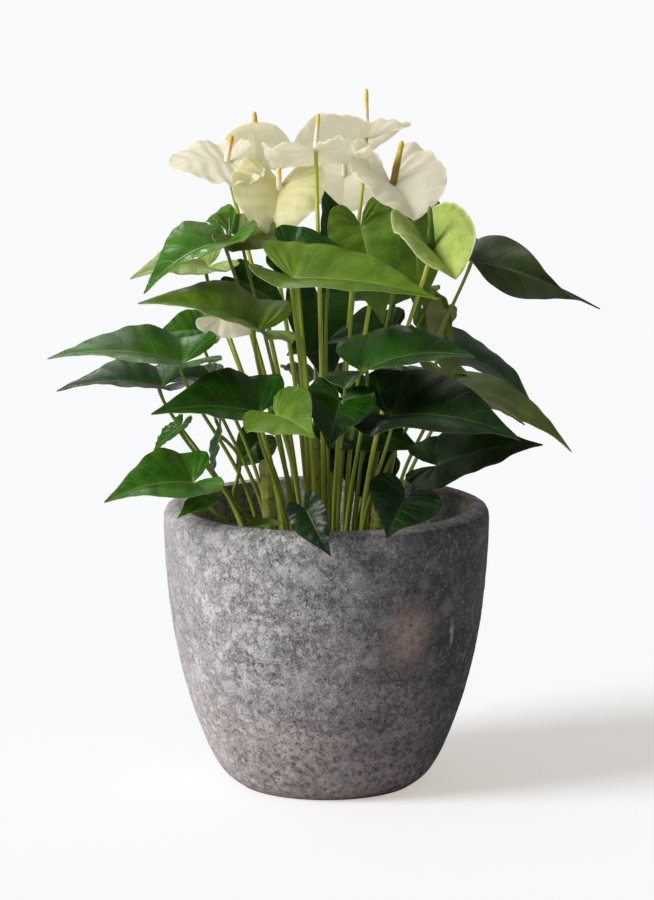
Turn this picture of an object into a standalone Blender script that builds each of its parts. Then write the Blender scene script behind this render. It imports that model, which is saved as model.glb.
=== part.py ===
"""A potted white anthurium: a thick-walled glazed pot filled with soil, three woody canes, arching
leaves whose blade and petiole are one piece, and flowers made of a spathe and a stalk with its spadix.

Metres, +Z up. The origin is the centre of the pot's foot, on the surface that it stands on.
The -Y side is the front.
"""

import math
from collections import namedtuple

import bmesh
import bpy
from mathutils import Vector
from mathutils.kdtree import KDTree

MM = 0.001
GAP = 0.3 * MM  # clearance between neighbouring pieces

# --- Pot ------------------------------------------------------------------------------------------
POT_STEPS = 36
POT_HEIGHT = 270 * MM
FLOOR_THICKNESS = 20 * MM
# (radius, height) in mm, down the outside from the crest of the rim to the foot.
POT_OUTSIDE = (
    (143, 270), (150, 268), (154.5, 262), (154.5, 243), (152, 200), (147, 155),
    (139, 114), (128, 75), (114, 38), (104, 19), (95, 8), (84, 0),
)
# (radius, height) in mm, up the inside from the floor to the rim.
POT_INSIDE = (
    (76, 20), (92, 30), (113, 75), (124, 114), (131, 155), (134, 200), (135, 262), (138, 268),
)

# --- Soil and canes -------------------------------------------------------------------------------
SOIL_TOP = 208 * MM
# name: foot (x, y), lean of the top (x, y), length, radius, in mm.
CANES = {
    "cane_left": ((-52, -42), (-6, -6), 112, 6.0),
    "cane_middle": ((-8, 6), (-4, 4), 128, 5.5),
    "cane_right": ((44, -8), (6, -4), 62, 6.5),
}

# --- Blades ---------------------------------------------------------------------------------------
LEAF_THICKNESS = 1.2 * MM
SPATHE_THICKNESS = 1.4 * MM
PETIOLE_RADIUS = 2.3 * MM
FOOT_PULL = (0.66, 0.24)  # a foot's share of its junction's distance from the axis, low and high
CROWN_HEIGHT = 400 * MM  # above the soil, where the higher share applies
LOBE_LIFT = 0.35  # how steeply the lobes behind the junction rise
MARGIN_WAVES = 2.5
JUNCTION_INSET = 4 * MM  # from the junction along the midrib to the stem's end
STEM_REACH = 1.2 * MM  # how far a stem passes the blade's surface
ARRIVAL = 1.0  # how squarely a stem meets its blade
ARRIVAL_REACH = 45 * MM  # the longest end over which it turns to do so
ROUTE_POINTS = 10
STEM_SPACING = 6.9 * MM  # between the centrelines of neighbouring stems
CANE_SPACING = 11 * MM  # from a cane's centreline to a stem's
SPREAD_ROUNDS = 90

# One row of a blade: the margin's place along the midrib and its half width, as shares of the
# blade's length and width, then the place on the midrib where that row's vein starts.
Row = namedtuple("Row", "along out root")
LEAF_ROWS = (
    Row(-0.13, 0.06, 0.0), Row(-0.25, 0.20, 0.0), Row(-0.23, 0.37, 0.0), Row(-0.07, 0.47, 0.02),
    Row(0.16, 0.50, 0.14), Row(0.38, 0.43, 0.32), Row(0.61, 0.28, 0.54), Row(0.83, 0.105, 0.78),
    Row(1.0, 0.018, 1.0),
)
SPATHE_ROWS = (
    Row(-0.22, 0.05, 0.0), Row(-0.48, 0.20, 0.0), Row(-0.45, 0.38, 0.0), Row(-0.20, 0.48, 0.02),
    Row(0.10, 0.50, 0.14), Row(0.38, 0.44, 0.32), Row(0.64, 0.30, 0.56), Row(0.86, 0.13, 0.80),
    Row(1.0, 0.02, 1.0),
)

# A blade runs from its junction to its tip and shows its upper side along face. fold is how far
# each half rises, in degrees; arch is the midrib's rise as a share of its length; twist turns the
# tip about the midrib, in degrees; wave is the margin's ripple as a share of the width.
Blade = namedtuple("Blade", "junction tip width face fold arch twist wave", defaults=(12, 0.08, 0, 0.03))

LEAVES = {
    # upper tier
    "leaf_01": Blade((-92, -40, 526), (-169, -80, 482), 72, (0, -1, 4), 26, 0.12),
    "leaf_02": Blade((-112, 14, 495), (-184, -30, 489), 66, (0, -1, 3)),
    "leaf_03": Blade((-64, -68, 445), (-174, -95, 475), 90, (0, -1, 2.7), 25, 0.10),
    "leaf_04": Blade((-30, -99, 499), (102, -138, 485), 80, (0, -1, 2.4), 26, 0.05),
    "leaf_05": Blade((-34, -68, 518), (38, -74, 497), 54, (0, -1, 0.7), 12),
    "leaf_06": Blade((10, -4, 509), (-6, -10, 574), 48, (0.7, -1, 0.1), 28),
    "leaf_07": Blade((32, -48, 541), (53, -56, 450), 66, (0.1, -1, 0.1), 12, 0.06),
    "leaf_08": Blade((133, -2, 503), (257, -26, 460), 54, (0, -0.15, 1), 36, 0.05, 190),
    "leaf_09": Blade((82, 26, 536), (86, -4, 450), 60, (0.2, -1, 0.2)),
    "leaf_10": Blade((-84, 64, 470), (-52, 52, 447), 42, (0.2, -1.5, 2)),
    # middle tier
    "leaf_11": Blade((-134, -60, 414), (-259, -80, 421), 86, (0, -1, 3.8), 20, 0.08),
    "leaf_12": Blade((-155, -20, 385), (-253, -45, 385), 72, (0, -1, 4), 22),
    "leaf_13": Blade((-108, 24, 385), (-162, -8, 385), 50, (0, -1, 3)),
    "leaf_14": Blade((-62, -93, 372), (-161, -128, 377), 90, (0, -1, 2), 26, 0.08),
    "leaf_15": Blade((-46, -146, 379), (-11, -198, 367), 68, (-0.3, -1, 1.2), 16, 0.10),
    "leaf_16": Blade((13, -124, 388), (2, -172, 352), 66, (0, -1, 0.9), 20, 0.12),
    "leaf_17": Blade((34, -91, 411), (136, -125, 430), 96, (0.2, -1, 2.2), 22, 0.10),
    "leaf_18": Blade((58, -95, 369), (178, -140, 355), 98, (0, -1, 1.9), 24, 0.10),
    "leaf_19": Blade((118, -44, 392), (228, -84, 334), 64, (0.3, -0.3, 1), 8, 0.10),
    "leaf_20": Blade((101, 62, 411), (206, 67, 334), 82, (0.2, -1, 3.5), 11, 0.14),
    "leaf_21": Blade((57, 43, 350), (42, 20, 330), 30, (0, -1.2, 1)),
    "leaf_22": Blade((2, 56, 427), (-38, 44, 405), 50, (0, -1.5, 1)),
    "leaf_23": Blade((-118, 52, 428), (-165, 38, 424), 46, (0, -1, 1)),
    # lower tier
    "leaf_24": Blade((-124, -95, 307), (-205, -125, 294), 74, (-0.2, -1.2, 2), 20, 0.10),
    "leaf_25": Blade((-110, -102, 294), (-138, -122, 278), 24, (-0.5, -1, 0.5)),
    "leaf_26": Blade((-98, -64, 350), (-104, -72, 300), 36, (-1, -0.2, 0.3)),
    "leaf_27": Blade((-137, -34, 350), (-163, -58, 326), 24, (-0.6, -0.6, 1)),
    "leaf_28": Blade((-62, 45, 326), (-87, 55, 294), 40, (0, -1, 0.4)),
    "leaf_29": Blade((4, 86, 300), (-10, 100, 266), 42, (0, -1, 0.3)),
    "leaf_30": Blade((-18, -156, 292), (4, -180, 254), 36, (-0.3, -1, 0.4), 20),
    "leaf_31": Blade((73, -125, 298), (55, -162, 268), 70, (0, -1.5, 0.8), 20),
    "leaf_32": Blade((104, -66, 318), (201, -92, 342), 70, (0, -1, 1.4), 8),
    "leaf_33": Blade((52, 100, 295), (26, 84, 268), 46, (0, -1, 0.3)),
    # back
    "leaf_34": Blade((-54, 100, 436), (-112, 182, 424), 74, (-0.2, 1, 2), 14, 0.10),
    "leaf_35": Blade((64, 72, 450), (105, 185, 430), 80, (0, 1, 2), 14, 0.10),
    "leaf_36": Blade((-10, 98, 374), (-26, 196, 346), 66, (0, 1, 2), 14, 0.12),
    "leaf_37": Blade((70, 100, 372), (150, 175, 350), 78, (0.5, 0.5, 2), 14, 0.10),
}

# --- Flowers --------------------------------------------------------------------------------------
STALK_RADIUS = 2.2 * MM
SPADIX_RADIUS = 3.4 * MM
# name: the spathe's blade, then the spadix's direction and its length in mm.
Flower = namedtuple("Flower", "spathe spadix length")
FLOWERS = {
    "1": Flower(Blade((-92, 20, 587), (-139, -4, 604), 80, (0, -1, 4), -20, 0.10), (0.12, 0, 1), 34),
    "2": Flower(Blade((-60, 74, 588), (-66, 120, 614), 78, (0, 0.5, -0.9), 18, -0.45), (-0.12, 0.12, 1), 46),
    "3": Flower(Blade((-14, -36, 611), (6, -90, 601), 90, (0, -0.2, 1), -10, 0.12), (0.05, 0, 1), 38),
    "4": Flower(Blade((44, 64, 611), (-20, 56, 610), 80, (0, 0.8, 1.1), 8, 0.10), (0, 0, 1), 42),
    "5": Flower(Blade((61, -25, 574), (86, -72, 547), 86, (0.85, -1, 0.6), 36, 0.08), (0.15, -0.2, 1), 46),
    "6": Flower(Blade((-42, -3, 570), (-56, -39, 534), 74, (0, -1, 1.1), 26), (0, -0.2, 1), 22),
    "7": Flower(Blade((18, 118, 574), (15, 104, 534), 74, (0, -1, 0.8)), (0, -0.5, 1), 30),
    "8": Flower(Blade((-98, -11, 449), (-60, -12, 446), 44, (0, -1, 0.8)), (0, -0.2, 1), 26),
    "9": Flower(Blade((95, -89, 523), (125, -139, 503), 80, (0.2, -1, 0.9), 32, 0.02), (-0.05, -0.3, 1), 42),
}

# --- Colours: base colour, roughness --------------------------------------------------------------
FINISHES = {
    "stone_glaze": ((0.20, 0.195, 0.20), 0.85),
    "soil": ((0.045, 0.03, 0.022), 0.95),
    "cane_bark": ((0.30, 0.33, 0.10), 0.7),
    "leaf": ((0.05, 0.16, 0.03), 0.35),
    "stalk": ((0.38, 0.50, 0.10), 0.45),
    "spathe": ((0.82, 0.79, 0.68), 0.5),
    "green_spathe": ((0.45, 0.58, 0.20), 0.45),
}


def finish(name):
    """The Principled material of that name, made once."""
    if name in bpy.data.materials:
        return bpy.data.materials[name]
    colour, roughness = FINISHES[name]
    material = bpy.data.materials.new(name)
    material.use_nodes = True
    shader = material.node_tree.nodes["Principled BSDF"]
    shader.inputs["Base Color"].default_value = (*colour, 1.0)
    shader.inputs["Roughness"].default_value = roughness
    material.diffuse_color = (*colour, 1.0)
    return material


def new_object(name, data, collection, material=None):
    """Links an object, with its material."""
    made = bpy.data.objects.new(name, data)
    collection.objects.link(made)
    if material:
        made.data.materials.append(finish(material))
    return made


def helper(obj):
    """Keeps an object that only cuts or joins another out of the render."""
    obj.hide_render = True
    obj.display_type = "WIRE"


def turned(name, profile, material, collection):
    """A turned solid: a profile of (radius, height), down its outer side, under a Screw modifier."""
    mesh = bpy.data.meshes.new(name)
    edges = [(i, i + 1) for i in range(len(profile) - 1)]
    mesh.from_pydata([(radius, 0.0, height) for radius, height in profile], edges, [])
    made = new_object(name, mesh, collection, material)
    screw = made.modifiers.new("Turn", "SCREW")
    screw.steps = screw.render_steps = POT_STEPS
    screw.use_merge_vertices = True
    screw.merge_threshold = 0.00001
    screw.use_smooth_shade = True
    return made


def build_pot(collection):
    """The pot: an open profile that starts and ends on the axis, so its foot and floor are whole."""
    inside = [(0.0, FLOOR_THICKNESS)] + [(r * MM, z * MM) for r, z in POT_INSIDE]
    outside = [(r * MM, z * MM) for r, z in POT_OUTSIDE] + [(0.0, 0.0)]
    return turned("pot", inside + outside, "stone_glaze", collection)


def inner_radius(height):
    """The inner wall's radius at that height."""
    for (r0, z0), (r1, z1) in zip(POT_INSIDE, POT_INSIDE[1:]):
        if z0 * MM <= height <= z1 * MM:
            return (r0 + (r1 - r0) * (height / MM - z0) / (z1 - z0)) * MM
    raise ValueError("height is outside the pot")


def build_soil(collection):
    """The soil: it follows the inner wall a gap inside it, and its top is level."""
    wall = [(r * MM - 2 * GAP, z * MM + GAP) for r, z in POT_INSIDE if z * MM < SOIL_TOP]
    floor = FLOOR_THICKNESS + GAP
    profile = [(0.0, SOIL_TOP), (inner_radius(SOIL_TOP) - 2 * GAP, SOIL_TOP)]
    profile += wall[::-1] + [(0.0, floor)]
    return turned("soil", profile, "soil", collection)


def tube(name, points, radii, collection, material=None, sides=2):
    """A tube along points, capped, with a radius at each point."""
    curve = bpy.data.curves.new(name, "CURVE")
    curve.dimensions = "3D"
    curve.bevel_depth = 1.0
    curve.bevel_resolution = sides
    curve.use_fill_caps = True
    spline = curve.splines.new("POLY")
    spline.points.add(len(points) - 1)
    for target, point, radius in zip(spline.points, points, radii):
        target.co = (*point, 1.0)
        target.radius = radius
    return new_object(name, curve, collection, material)


def as_mesh(obj, collection):
    """The curve object as a mesh object with welded caps; the curve is removed."""
    graph = bpy.context.evaluated_depsgraph_get()
    mesh = bpy.data.meshes.new_from_object(obj.evaluated_get(graph))
    bm = bmesh.new()
    bm.from_mesh(mesh)
    bmesh.ops.remove_doubles(bm, verts=bm.verts, dist=0.01 * MM)
    bm.to_mesh(mesh)
    bm.free()
    name = obj.name
    matrix = obj.matrix_world.copy()
    bpy.data.objects.remove(obj)
    made = new_object(name, mesh, collection)
    made.matrix_world = matrix
    return made


def bezier(start, first, second, end, count):
    """count points on a cubic Bezier curve."""
    points = []
    for i in range(count):
        t = i / (count - 1)
        s = 1 - t
        points.append(s**3 * start + 3 * s * s * t * first + 3 * s * t * t * second + t**3 * end)
    return points


def axes(blade):
    """The blade's own axes: along the midrib, across it, and out of its upper side."""
    along = Vector(blade.tip) - Vector(blade.junction)
    along.normalize()
    face = Vector(blade.face)
    up = (face - face.dot(along) * along).normalized()
    return along, up.cross(along), up


def blade_point(blade, rows, u, v):
    """The place of a point on the blade: u from sinus to tip, v from -1 to 1 across it."""
    along, across, up = axes(blade)
    length = (Vector(blade.tip) - Vector(blade.junction)).length
    row = rows[round(u * (len(rows) - 1))]
    reach = abs(v)
    t = row.root + (row.along - row.root) * reach
    y = row.out * v * blade.width
    z = abs(y) * math.tan(math.radians(blade.fold)) * (1.2 - 0.5 * reach)
    z += 2 * row.out * blade.wave * blade.width * reach**2 * math.sin(math.tau * MARGIN_WAVES * u + v)
    turn = math.radians(blade.twist) * max(t, 0.0)
    y, z = y * math.cos(turn) - z * math.sin(turn), y * math.sin(turn) + z * math.cos(turn)
    rise = 4 * blade.arch * t * (1 - t) if t > 0 else -LOBE_LIFT * t
    return (Vector(blade.junction) + along * (t * length) + across * y + up * (z + rise * length)) * MM


def blade_object(name, blade, rows, thickness, collection, material):
    """A blade: a grid laid on the blade's surface and given its thickness by Solidify."""
    bm = bmesh.new()
    bmesh.ops.create_grid(bm, x_segments=len(rows) - 1, y_segments=4, size=0.5)
    for vertex in bm.verts:
        vertex.co = blade_point(blade, rows, vertex.co.x + 0.5, 2 * vertex.co.y)
    bmesh.ops.remove_doubles(bm, verts=bm.verts, dist=0.01 * MM)
    mesh = bpy.data.meshes.new(name)
    bm.to_mesh(mesh)
    bm.free()
    made = new_object(name, mesh, collection, material)
    solid = made.modifiers.new("Thickness", "SOLIDIFY")
    solid.thickness = thickness
    solid.offset = 0.0
    return made


def combine(obj, other, operation):
    """Adds a Boolean modifier on obj."""
    boolean = obj.modifiers.new(operation.title(), "BOOLEAN")
    boolean.operation = operation
    boolean.object = other
    boolean.solver = "EXACT"
    boolean.use_self = True


def stem_route(blade):
    """The stem's points, from its foot on the soil up through the blade at its junction."""
    along, _, up = axes(blade)
    end = Vector(blade.junction) * MM + along * JUNCTION_INSET + up * STEM_REACH
    low, high = FOOT_PULL
    pull = low + (high - low) * min((end.z - SOIL_TOP) / CROWN_HEIGHT, 1.0)
    foot = Vector((end.x * pull, end.y * pull, SOIL_TOP + GAP))
    rise = (end - foot).length
    arrive = ((end - foot).normalized() + ARRIVAL * up).normalized()
    second = end - arrive * min(0.25 * rise, ARRIVAL_REACH)
    return bezier(foot, foot + Vector((0, 0, 0.42 * rise)), second, end, ROUTE_POINTS)


def spread_stems(routes):
    """Moves the stems apart sideways until their centrelines are clear, with their tops held."""
    for _ in range(SPREAD_ROUNDS):
        samples = []
        for name, route in routes.items():
            for i in range(len(route) - 1):
                for share in (0.0, 0.25, 0.5, 0.75):
                    samples.append((name, i + share, route[i].lerp(route[i + 1], share)))
        tree = KDTree(len(samples))
        for index, (_, _, point) in enumerate(samples):
            tree.insert(point, index)
        tree.balance()
        moved = False
        for name, place, point in samples:
            push = Vector((0, 0, 0))
            for other, index, distance in tree.find_range(point, CANE_SPACING):
                beside = samples[index][0]
                spacing = CANE_SPACING if beside.startswith("cane") else STEM_SPACING
                if beside != name and distance < spacing:
                    away = point - other
                    away.z = 0.0
                    if away.length < 0.01 * MM:
                        away = Vector((1.0 if name < beside else -1.0, 0.3, 0.0))
                    push += away.normalized() * (spacing - distance) * 0.3
            route = routes[name]
            near = round(place)
            if push.length > 0.02 * MM and not name.startswith("cane"):
                moved = True
                for i in range(max(near - 2, 0), min(near + 3, len(route) - 1)):
                    route[i] += push * (1.0 - abs(i - near) / 3)
        for name, route in routes.items():
            route[0] = Vector((route[1].x, route[1].y, route[0].z))
        if not moved:
            return


def largest_part(obj):
    """Makes obj's evaluated shape its own mesh and drops the specks that a Boolean left beside it."""
    graph = bpy.context.evaluated_depsgraph_get()
    mesh = bpy.data.meshes.new_from_object(obj.evaluated_get(graph))
    bm = bmesh.new()
    bm.from_mesh(mesh)
    bmesh.ops.remove_doubles(bm, verts=bm.verts, dist=0.005 * MM)
    left = set(bm.verts)
    islands = []
    while left:
        island, todo = set(), [left.pop()]
        while todo:
            vertex = todo.pop()
            island.add(vertex)
            for edge in vertex.link_edges:
                other = edge.other_vert(vertex)
                if other in left:
                    left.remove(other)
                    todo.append(other)
        islands.append(island)
    specks = [vertex for island in islands if island is not max(islands, key=len) for vertex in island]
    bmesh.ops.delete(bm, geom=specks, context="VERTS")
    bm.to_mesh(mesh)
    bm.free()
    obj.modifiers.clear()
    obj.data = mesh


def build_leaf(name, blade, route, collection, helpers):
    """A leaf: its blade, joined to its petiole in one solid."""
    leaf = blade_object(name, blade, LEAF_ROWS, LEAF_THICKNESS, collection, "leaf")
    last = len(route) - 1
    radii = [PETIOLE_RADIUS * (1.25 - 0.4 * i / last) for i in range(last + 1)]
    petiole = as_mesh(tube(name + "_petiole", route, radii, helpers, sides=1), helpers)
    helper(petiole)
    combine(leaf, petiole, "UNION")
    largest_part(leaf)
    return leaf


def build_flower(number, flower, route, collection, helpers):
    """A flower: a stalk that ends in the spadix, and the spathe that sits round it."""
    spathe_finish = "green_spathe" if number == "9" else "spathe"
    spathe = blade_object(
        "spathe_" + number, flower.spathe, SPATHE_ROWS, SPATHE_THICKNESS, collection, spathe_finish
    )
    last = len(route) - 1
    radii = [STALK_RADIUS * (1.2 - 0.3 * i / last) for i in range(last + 1)]
    out = Vector(flower.spadix).normalized()
    points = list(route)
    for share, radius in ((0.12, 1.0), (0.6, 0.9), (0.92, 0.65), (1.0, 0.3)):
        points.append(route[last] + out * flower.length * share * MM)
        radii.append(SPADIX_RADIUS * radius)
    cleared = [radius + 1.5 * GAP for radius in radii]
    cutter = as_mesh(tube("clearance_" + number, points, cleared, helpers), helpers)
    helper(cutter)
    combine(spathe, cutter, "DIFFERENCE")
    largest_part(spathe)
    return spathe, tube("stalk_" + number, points, radii, collection, "stalk")


def cane_route(foot, lean, length):
    """A cane's points, from the soil up."""
    start = Vector((foot[0] * MM, foot[1] * MM, SOIL_TOP + GAP))
    end = start + Vector((lean[0], lean[1], length)) * MM
    return bezier(start, start + Vector((0, 0, 0.4 * length)) * MM, start.lerp(end, 0.7), end, 9)


def build_cane(name, foot, lean, length, radius, collection):
    """A woody cane with swollen nodes."""
    swell = [radius * MM * (1.0 + 0.14 * (i % 2)) for i in range(8)] + [radius * MM * 0.55]
    return tube(name, cane_route(foot, lean, length), swell, collection, "cane_bark")


def main():
    for obj in list(bpy.data.objects):
        bpy.data.objects.remove(obj)
    plant = bpy.data.collections.new("potted_anthurium")
    helpers = bpy.data.collections.new("joined_and_cut")
    for collection in (plant, helpers):
        bpy.context.scene.collection.children.link(collection)
    build_pot(plant)
    build_soil(plant)
    for name, (foot, lean, length, radius) in CANES.items():
        build_cane(name, foot, lean, length, radius, plant)
    routes = {name: cane_route(*sizes[:3]) for name, sizes in CANES.items()}
    routes.update({name: stem_route(blade) for name, blade in LEAVES.items()})
    routes.update({number: stem_route(flower.spathe) for number, flower in FLOWERS.items()})
    spread_stems(routes)
    for name, blade in LEAVES.items():
        build_leaf(name, blade, routes[name], plant, helpers)
    for number, flower in FLOWERS.items():
        build_flower(number, flower, routes[number], plant, helpers)
    for cutter in list(helpers.objects):
        bpy.data.objects.remove(cutter)
    bpy.data.collections.remove(helpers)


main()
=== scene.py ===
"""A white anthurium in a stone-glazed pot.

Metres, +Z up, and the front faces -Y. This script models the plant, its soil and its pot finely
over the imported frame's solids, gives each its finish, and sets a plain studio round them.
"""

from __future__ import annotations

import logging
import math
import random
from dataclasses import dataclass
from enum import Enum
from typing import Mapping, Optional, Sequence, Union

import bmesh
import bpy
from mathutils import Euler, Matrix, Vector, noise
from mathutils.kdtree import KDTree


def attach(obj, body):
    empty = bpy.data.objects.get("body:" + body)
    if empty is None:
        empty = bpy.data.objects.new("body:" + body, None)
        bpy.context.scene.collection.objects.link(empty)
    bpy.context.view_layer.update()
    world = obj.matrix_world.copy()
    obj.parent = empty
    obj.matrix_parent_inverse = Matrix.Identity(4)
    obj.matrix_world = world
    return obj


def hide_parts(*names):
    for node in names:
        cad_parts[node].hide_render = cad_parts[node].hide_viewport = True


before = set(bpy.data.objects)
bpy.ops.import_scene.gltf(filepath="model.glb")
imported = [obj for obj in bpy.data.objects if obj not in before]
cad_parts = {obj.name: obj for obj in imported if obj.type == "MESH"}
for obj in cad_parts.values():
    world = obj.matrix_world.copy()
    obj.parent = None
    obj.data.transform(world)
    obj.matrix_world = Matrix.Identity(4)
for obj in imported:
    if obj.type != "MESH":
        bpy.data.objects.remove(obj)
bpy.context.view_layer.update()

log = logging.getLogger("anthurium")

MM = 0.001
BODY = "root"
FORM = "Form"  # the UV map that runs along a piece and across it
UNDER, RIM, STEM = 1, 2, 3  # a blade's material slots, after its upper side's
SUNK = 14 * MM  # how far a stem goes on into the soil
WELD = 0.01 * MM  # vertices of a turned body that are nearer than this become one

Triple = tuple[float, float, float]


def paint(red: float, green: float, blue: float) -> Triple:
    """A colour given as it shows on a screen, 0 to 255, as the linear values a shader takes."""
    shares = (red / 255, green / 255, blue / 255)
    return tuple(s / 12.92 if s <= 0.04045 else ((s + 0.055) / 1.055) ** 2.4 for s in shares)


# ------------------------------------------------------------------------------------------------
# Shader values and materials
# ------------------------------------------------------------------------------------------------
class Wire:
    """A value in a material. Arithmetic on it adds the Math nodes that work it out."""

    def __init__(self, nodes: "Nodes", socket: bpy.types.NodeSocket) -> None:
        """Keeps the output socket and the nodes that it belongs to."""
        self.nodes = nodes
        self.socket = socket

    def _math(self, operation: str, *values: "Value") -> "Wire":
        """A Math node of that operation on the values."""
        return self.nodes.node("ShaderNodeMath", {"operation": operation}, dict(enumerate(values)))

    def __add__(self, other: "Value") -> "Wire":
        """self + other."""
        return self._math("ADD", self, other)

    def __radd__(self, other: "Value") -> "Wire":
        """other + self."""
        return self._math("ADD", other, self)

    def __sub__(self, other: "Value") -> "Wire":
        """self - other."""
        return self._math("SUBTRACT", self, other)

    def __rsub__(self, other: "Value") -> "Wire":
        """other - self."""
        return self._math("SUBTRACT", other, self)

    def __mul__(self, other: "Value") -> "Wire":
        """self * other."""
        return self._math("MULTIPLY", self, other)

    def __rmul__(self, other: "Value") -> "Wire":
        """other * self."""
        return self._math("MULTIPLY", other, self)

    def __pow__(self, other: "Value") -> "Wire":
        """self to the power of other."""
        return self._math("POWER", self, other)

    def __abs__(self) -> "Wire":
        """The size of self."""
        return self._math("ABSOLUTE", self)

    def fraction(self) -> "Wire":
        """What self has past its whole number."""
        return self._math("FRACT", self)

    def most(self, other: "Value") -> "Wire":
        """The larger of self and other."""
        return self._math("MAXIMUM", self, other)

    def least(self, other: "Value") -> "Wire":
        """The smaller of self and other."""
        return self._math("MINIMUM", self, other)


Value = Union[Wire, float, Sequence[float]]


class Nodes:
    """A tree of shader nodes that is being made."""

    def __init__(self, tree: bpy.types.NodeTree) -> None:
        """Keeps the tree."""
        self.tree = tree

    def plug(self, socket: bpy.types.NodeSocket, value: Value) -> None:
        """Links a value to a socket, or sets the socket to it.

        Args:
            socket: the input socket.
            value: a wire, a number, a colour or a vector.
        """
        if isinstance(value, Wire):
            self.tree.links.new(value.socket, socket)
        elif socket.type == "RGBA" and not isinstance(value, (int, float)):
            socket.default_value = (*value[:3], 1.0)
        else:
            socket.default_value = value

    def node(
        self,
        kind: str,
        settings: Optional[Mapping[str, object]] = None,
        inputs: Optional[Mapping[Union[str, int], Value]] = None,
        output: Union[str, int] = 0,
    ) -> Wire:
        """Adds a node.

        Args:
            kind: the node's type.
            settings: its own settings, set first; stops are a ramp's places and colours.
            inputs: the value or link of each socket.
            output: the socket that the result is read from.

        Returns:
            That output.
        """
        made = self.tree.nodes.new(kind)
        for name, value in (settings or {}).items():
            if name == "stops":
                self._stops(made.color_ramp, value)
            else:
                setattr(made, name, value)
        for name, value in (inputs or {}).items():
            self.plug(made.inputs[name], value)
        return Wire(self, made.outputs[output])

    @staticmethod
    def _stops(ramp: bpy.types.ColorRamp, stops: Sequence[tuple[float, Triple]]) -> None:
        """Sets a ramp's stops, in order.

        Args:
            ramp: the colour ramp.
            stops: each stop's place, 0 to 1, and its colour.
        """
        while len(ramp.elements) < len(stops):
            ramp.elements.new(1.0)
        for element, (place, colour) in zip(ramp.elements, stops):
            element.position = place
            element.color = (*colour, 1.0)

    def place(self) -> Wire:
        """The point on the piece, in metres."""
        return self.node("ShaderNodeTexCoord", output="Object")

    def split(self, vector: Wire) -> tuple[Wire, Wire, Wire]:
        """A vector's three parts."""
        parts = self.node("ShaderNodeSeparateXYZ", inputs={0: vector}).socket.node
        return tuple(Wire(self, parts.outputs[i]) for i in range(3))

    def uv(self) -> tuple[Wire, Wire]:
        """Where the point lies along the piece and across it, each 0 to 1."""
        return self.split(self.node("ShaderNodeUVMap", {"uv_map": FORM}))[:2]

    def grain(
        self, at: Wire, scale: float, detail: float = 2.0, rough: float = 0.5, bend: float = 0.0
    ) -> Wire:
        """Noise, 0 to 1, of that many features a metre."""
        inputs = {"Vector": at, "Scale": scale, "Detail": detail, "Roughness": rough, "Distortion": bend}
        return self.node("ShaderNodeTexNoise", inputs=inputs)

    def cells(self, at: Wire, scale: float, feature: str = "F1") -> Wire:
        """The distance in a pattern of cells, that many a metre."""
        inputs = {"Vector": at, "Scale": scale}
        return self.node("ShaderNodeTexVoronoi", {"feature": feature}, inputs, output="Distance")

    def bent(self, at: Wire, scale: float, reach: float) -> Wire:
        """A place pushed about by noise, so that shapes lose their roundness.

        Args:
            at: the place.
            scale: how many bends there are in a metre.
            reach: twice the farthest push, in metres.

        Returns:
            The pushed place.
        """
        inputs = {"Vector": at, "Scale": scale, "Detail": 3.0, "Roughness": 0.6}
        push = self.node("ShaderNodeTexNoise", inputs=inputs, output="Color")
        settings = {"operation": "MULTIPLY_ADD"}
        return self.node("ShaderNodeVectorMath", settings, {0: push, 1: (reach,) * 3, 2: at})

    def blots(self, at: Wire, scale: float, most: float, soft: float, share: float) -> Wire:
        """Spots of many sizes.

        Args:
            at: the place.
            scale: how many there may be in a metre.
            most: the largest one's radius, in spacings.
            soft: how wide its edge is, in spacings.
            share: how much of the spots there are, 0 to 1.

        Returns:
            1 inside a spot and 0 between them.
        """
        inputs = {"Vector": at, "Scale": scale}
        cells = self.node("ShaderNodeTexVoronoi", {"feature": "F1"}, inputs).socket.node
        chance, size, _ = self.split(Wire(self, cells.outputs["Color"]))
        inside = size * most - Wire(self, cells.outputs["Distance"])
        return self.fade(inside, -soft, soft) * self.fade(chance, 1.0 - share, 1.02 - share)

    def fade(self, value: Wire, low: float, high: float) -> Wire:
        """A smooth step: 0 where the value is low, 1 where it is high."""
        inputs = {"Value": value, "From Min": low, "From Max": high}
        return self.node("ShaderNodeMapRange", {"interpolation_type": "SMOOTHSTEP"}, inputs)

    def blend(self, share: Value, first: Value, second: Value) -> Wire:
        """The first colour turning into the second as the share goes from 0 to 1."""
        return self.node("ShaderNodeMix", {"data_type": "RGBA"}, {0: share, 6: first, 7: second}, 2)

    def relief(self, height: Wire, depth: float, strength: float = 1.0) -> Wire:
        """A surface normal from a height of 0 to 1, that deep in metres."""
        inputs = {"Height": height, "Distance": depth, "Strength": strength}
        return self.node("ShaderNodeBump", inputs=inputs)


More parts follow.
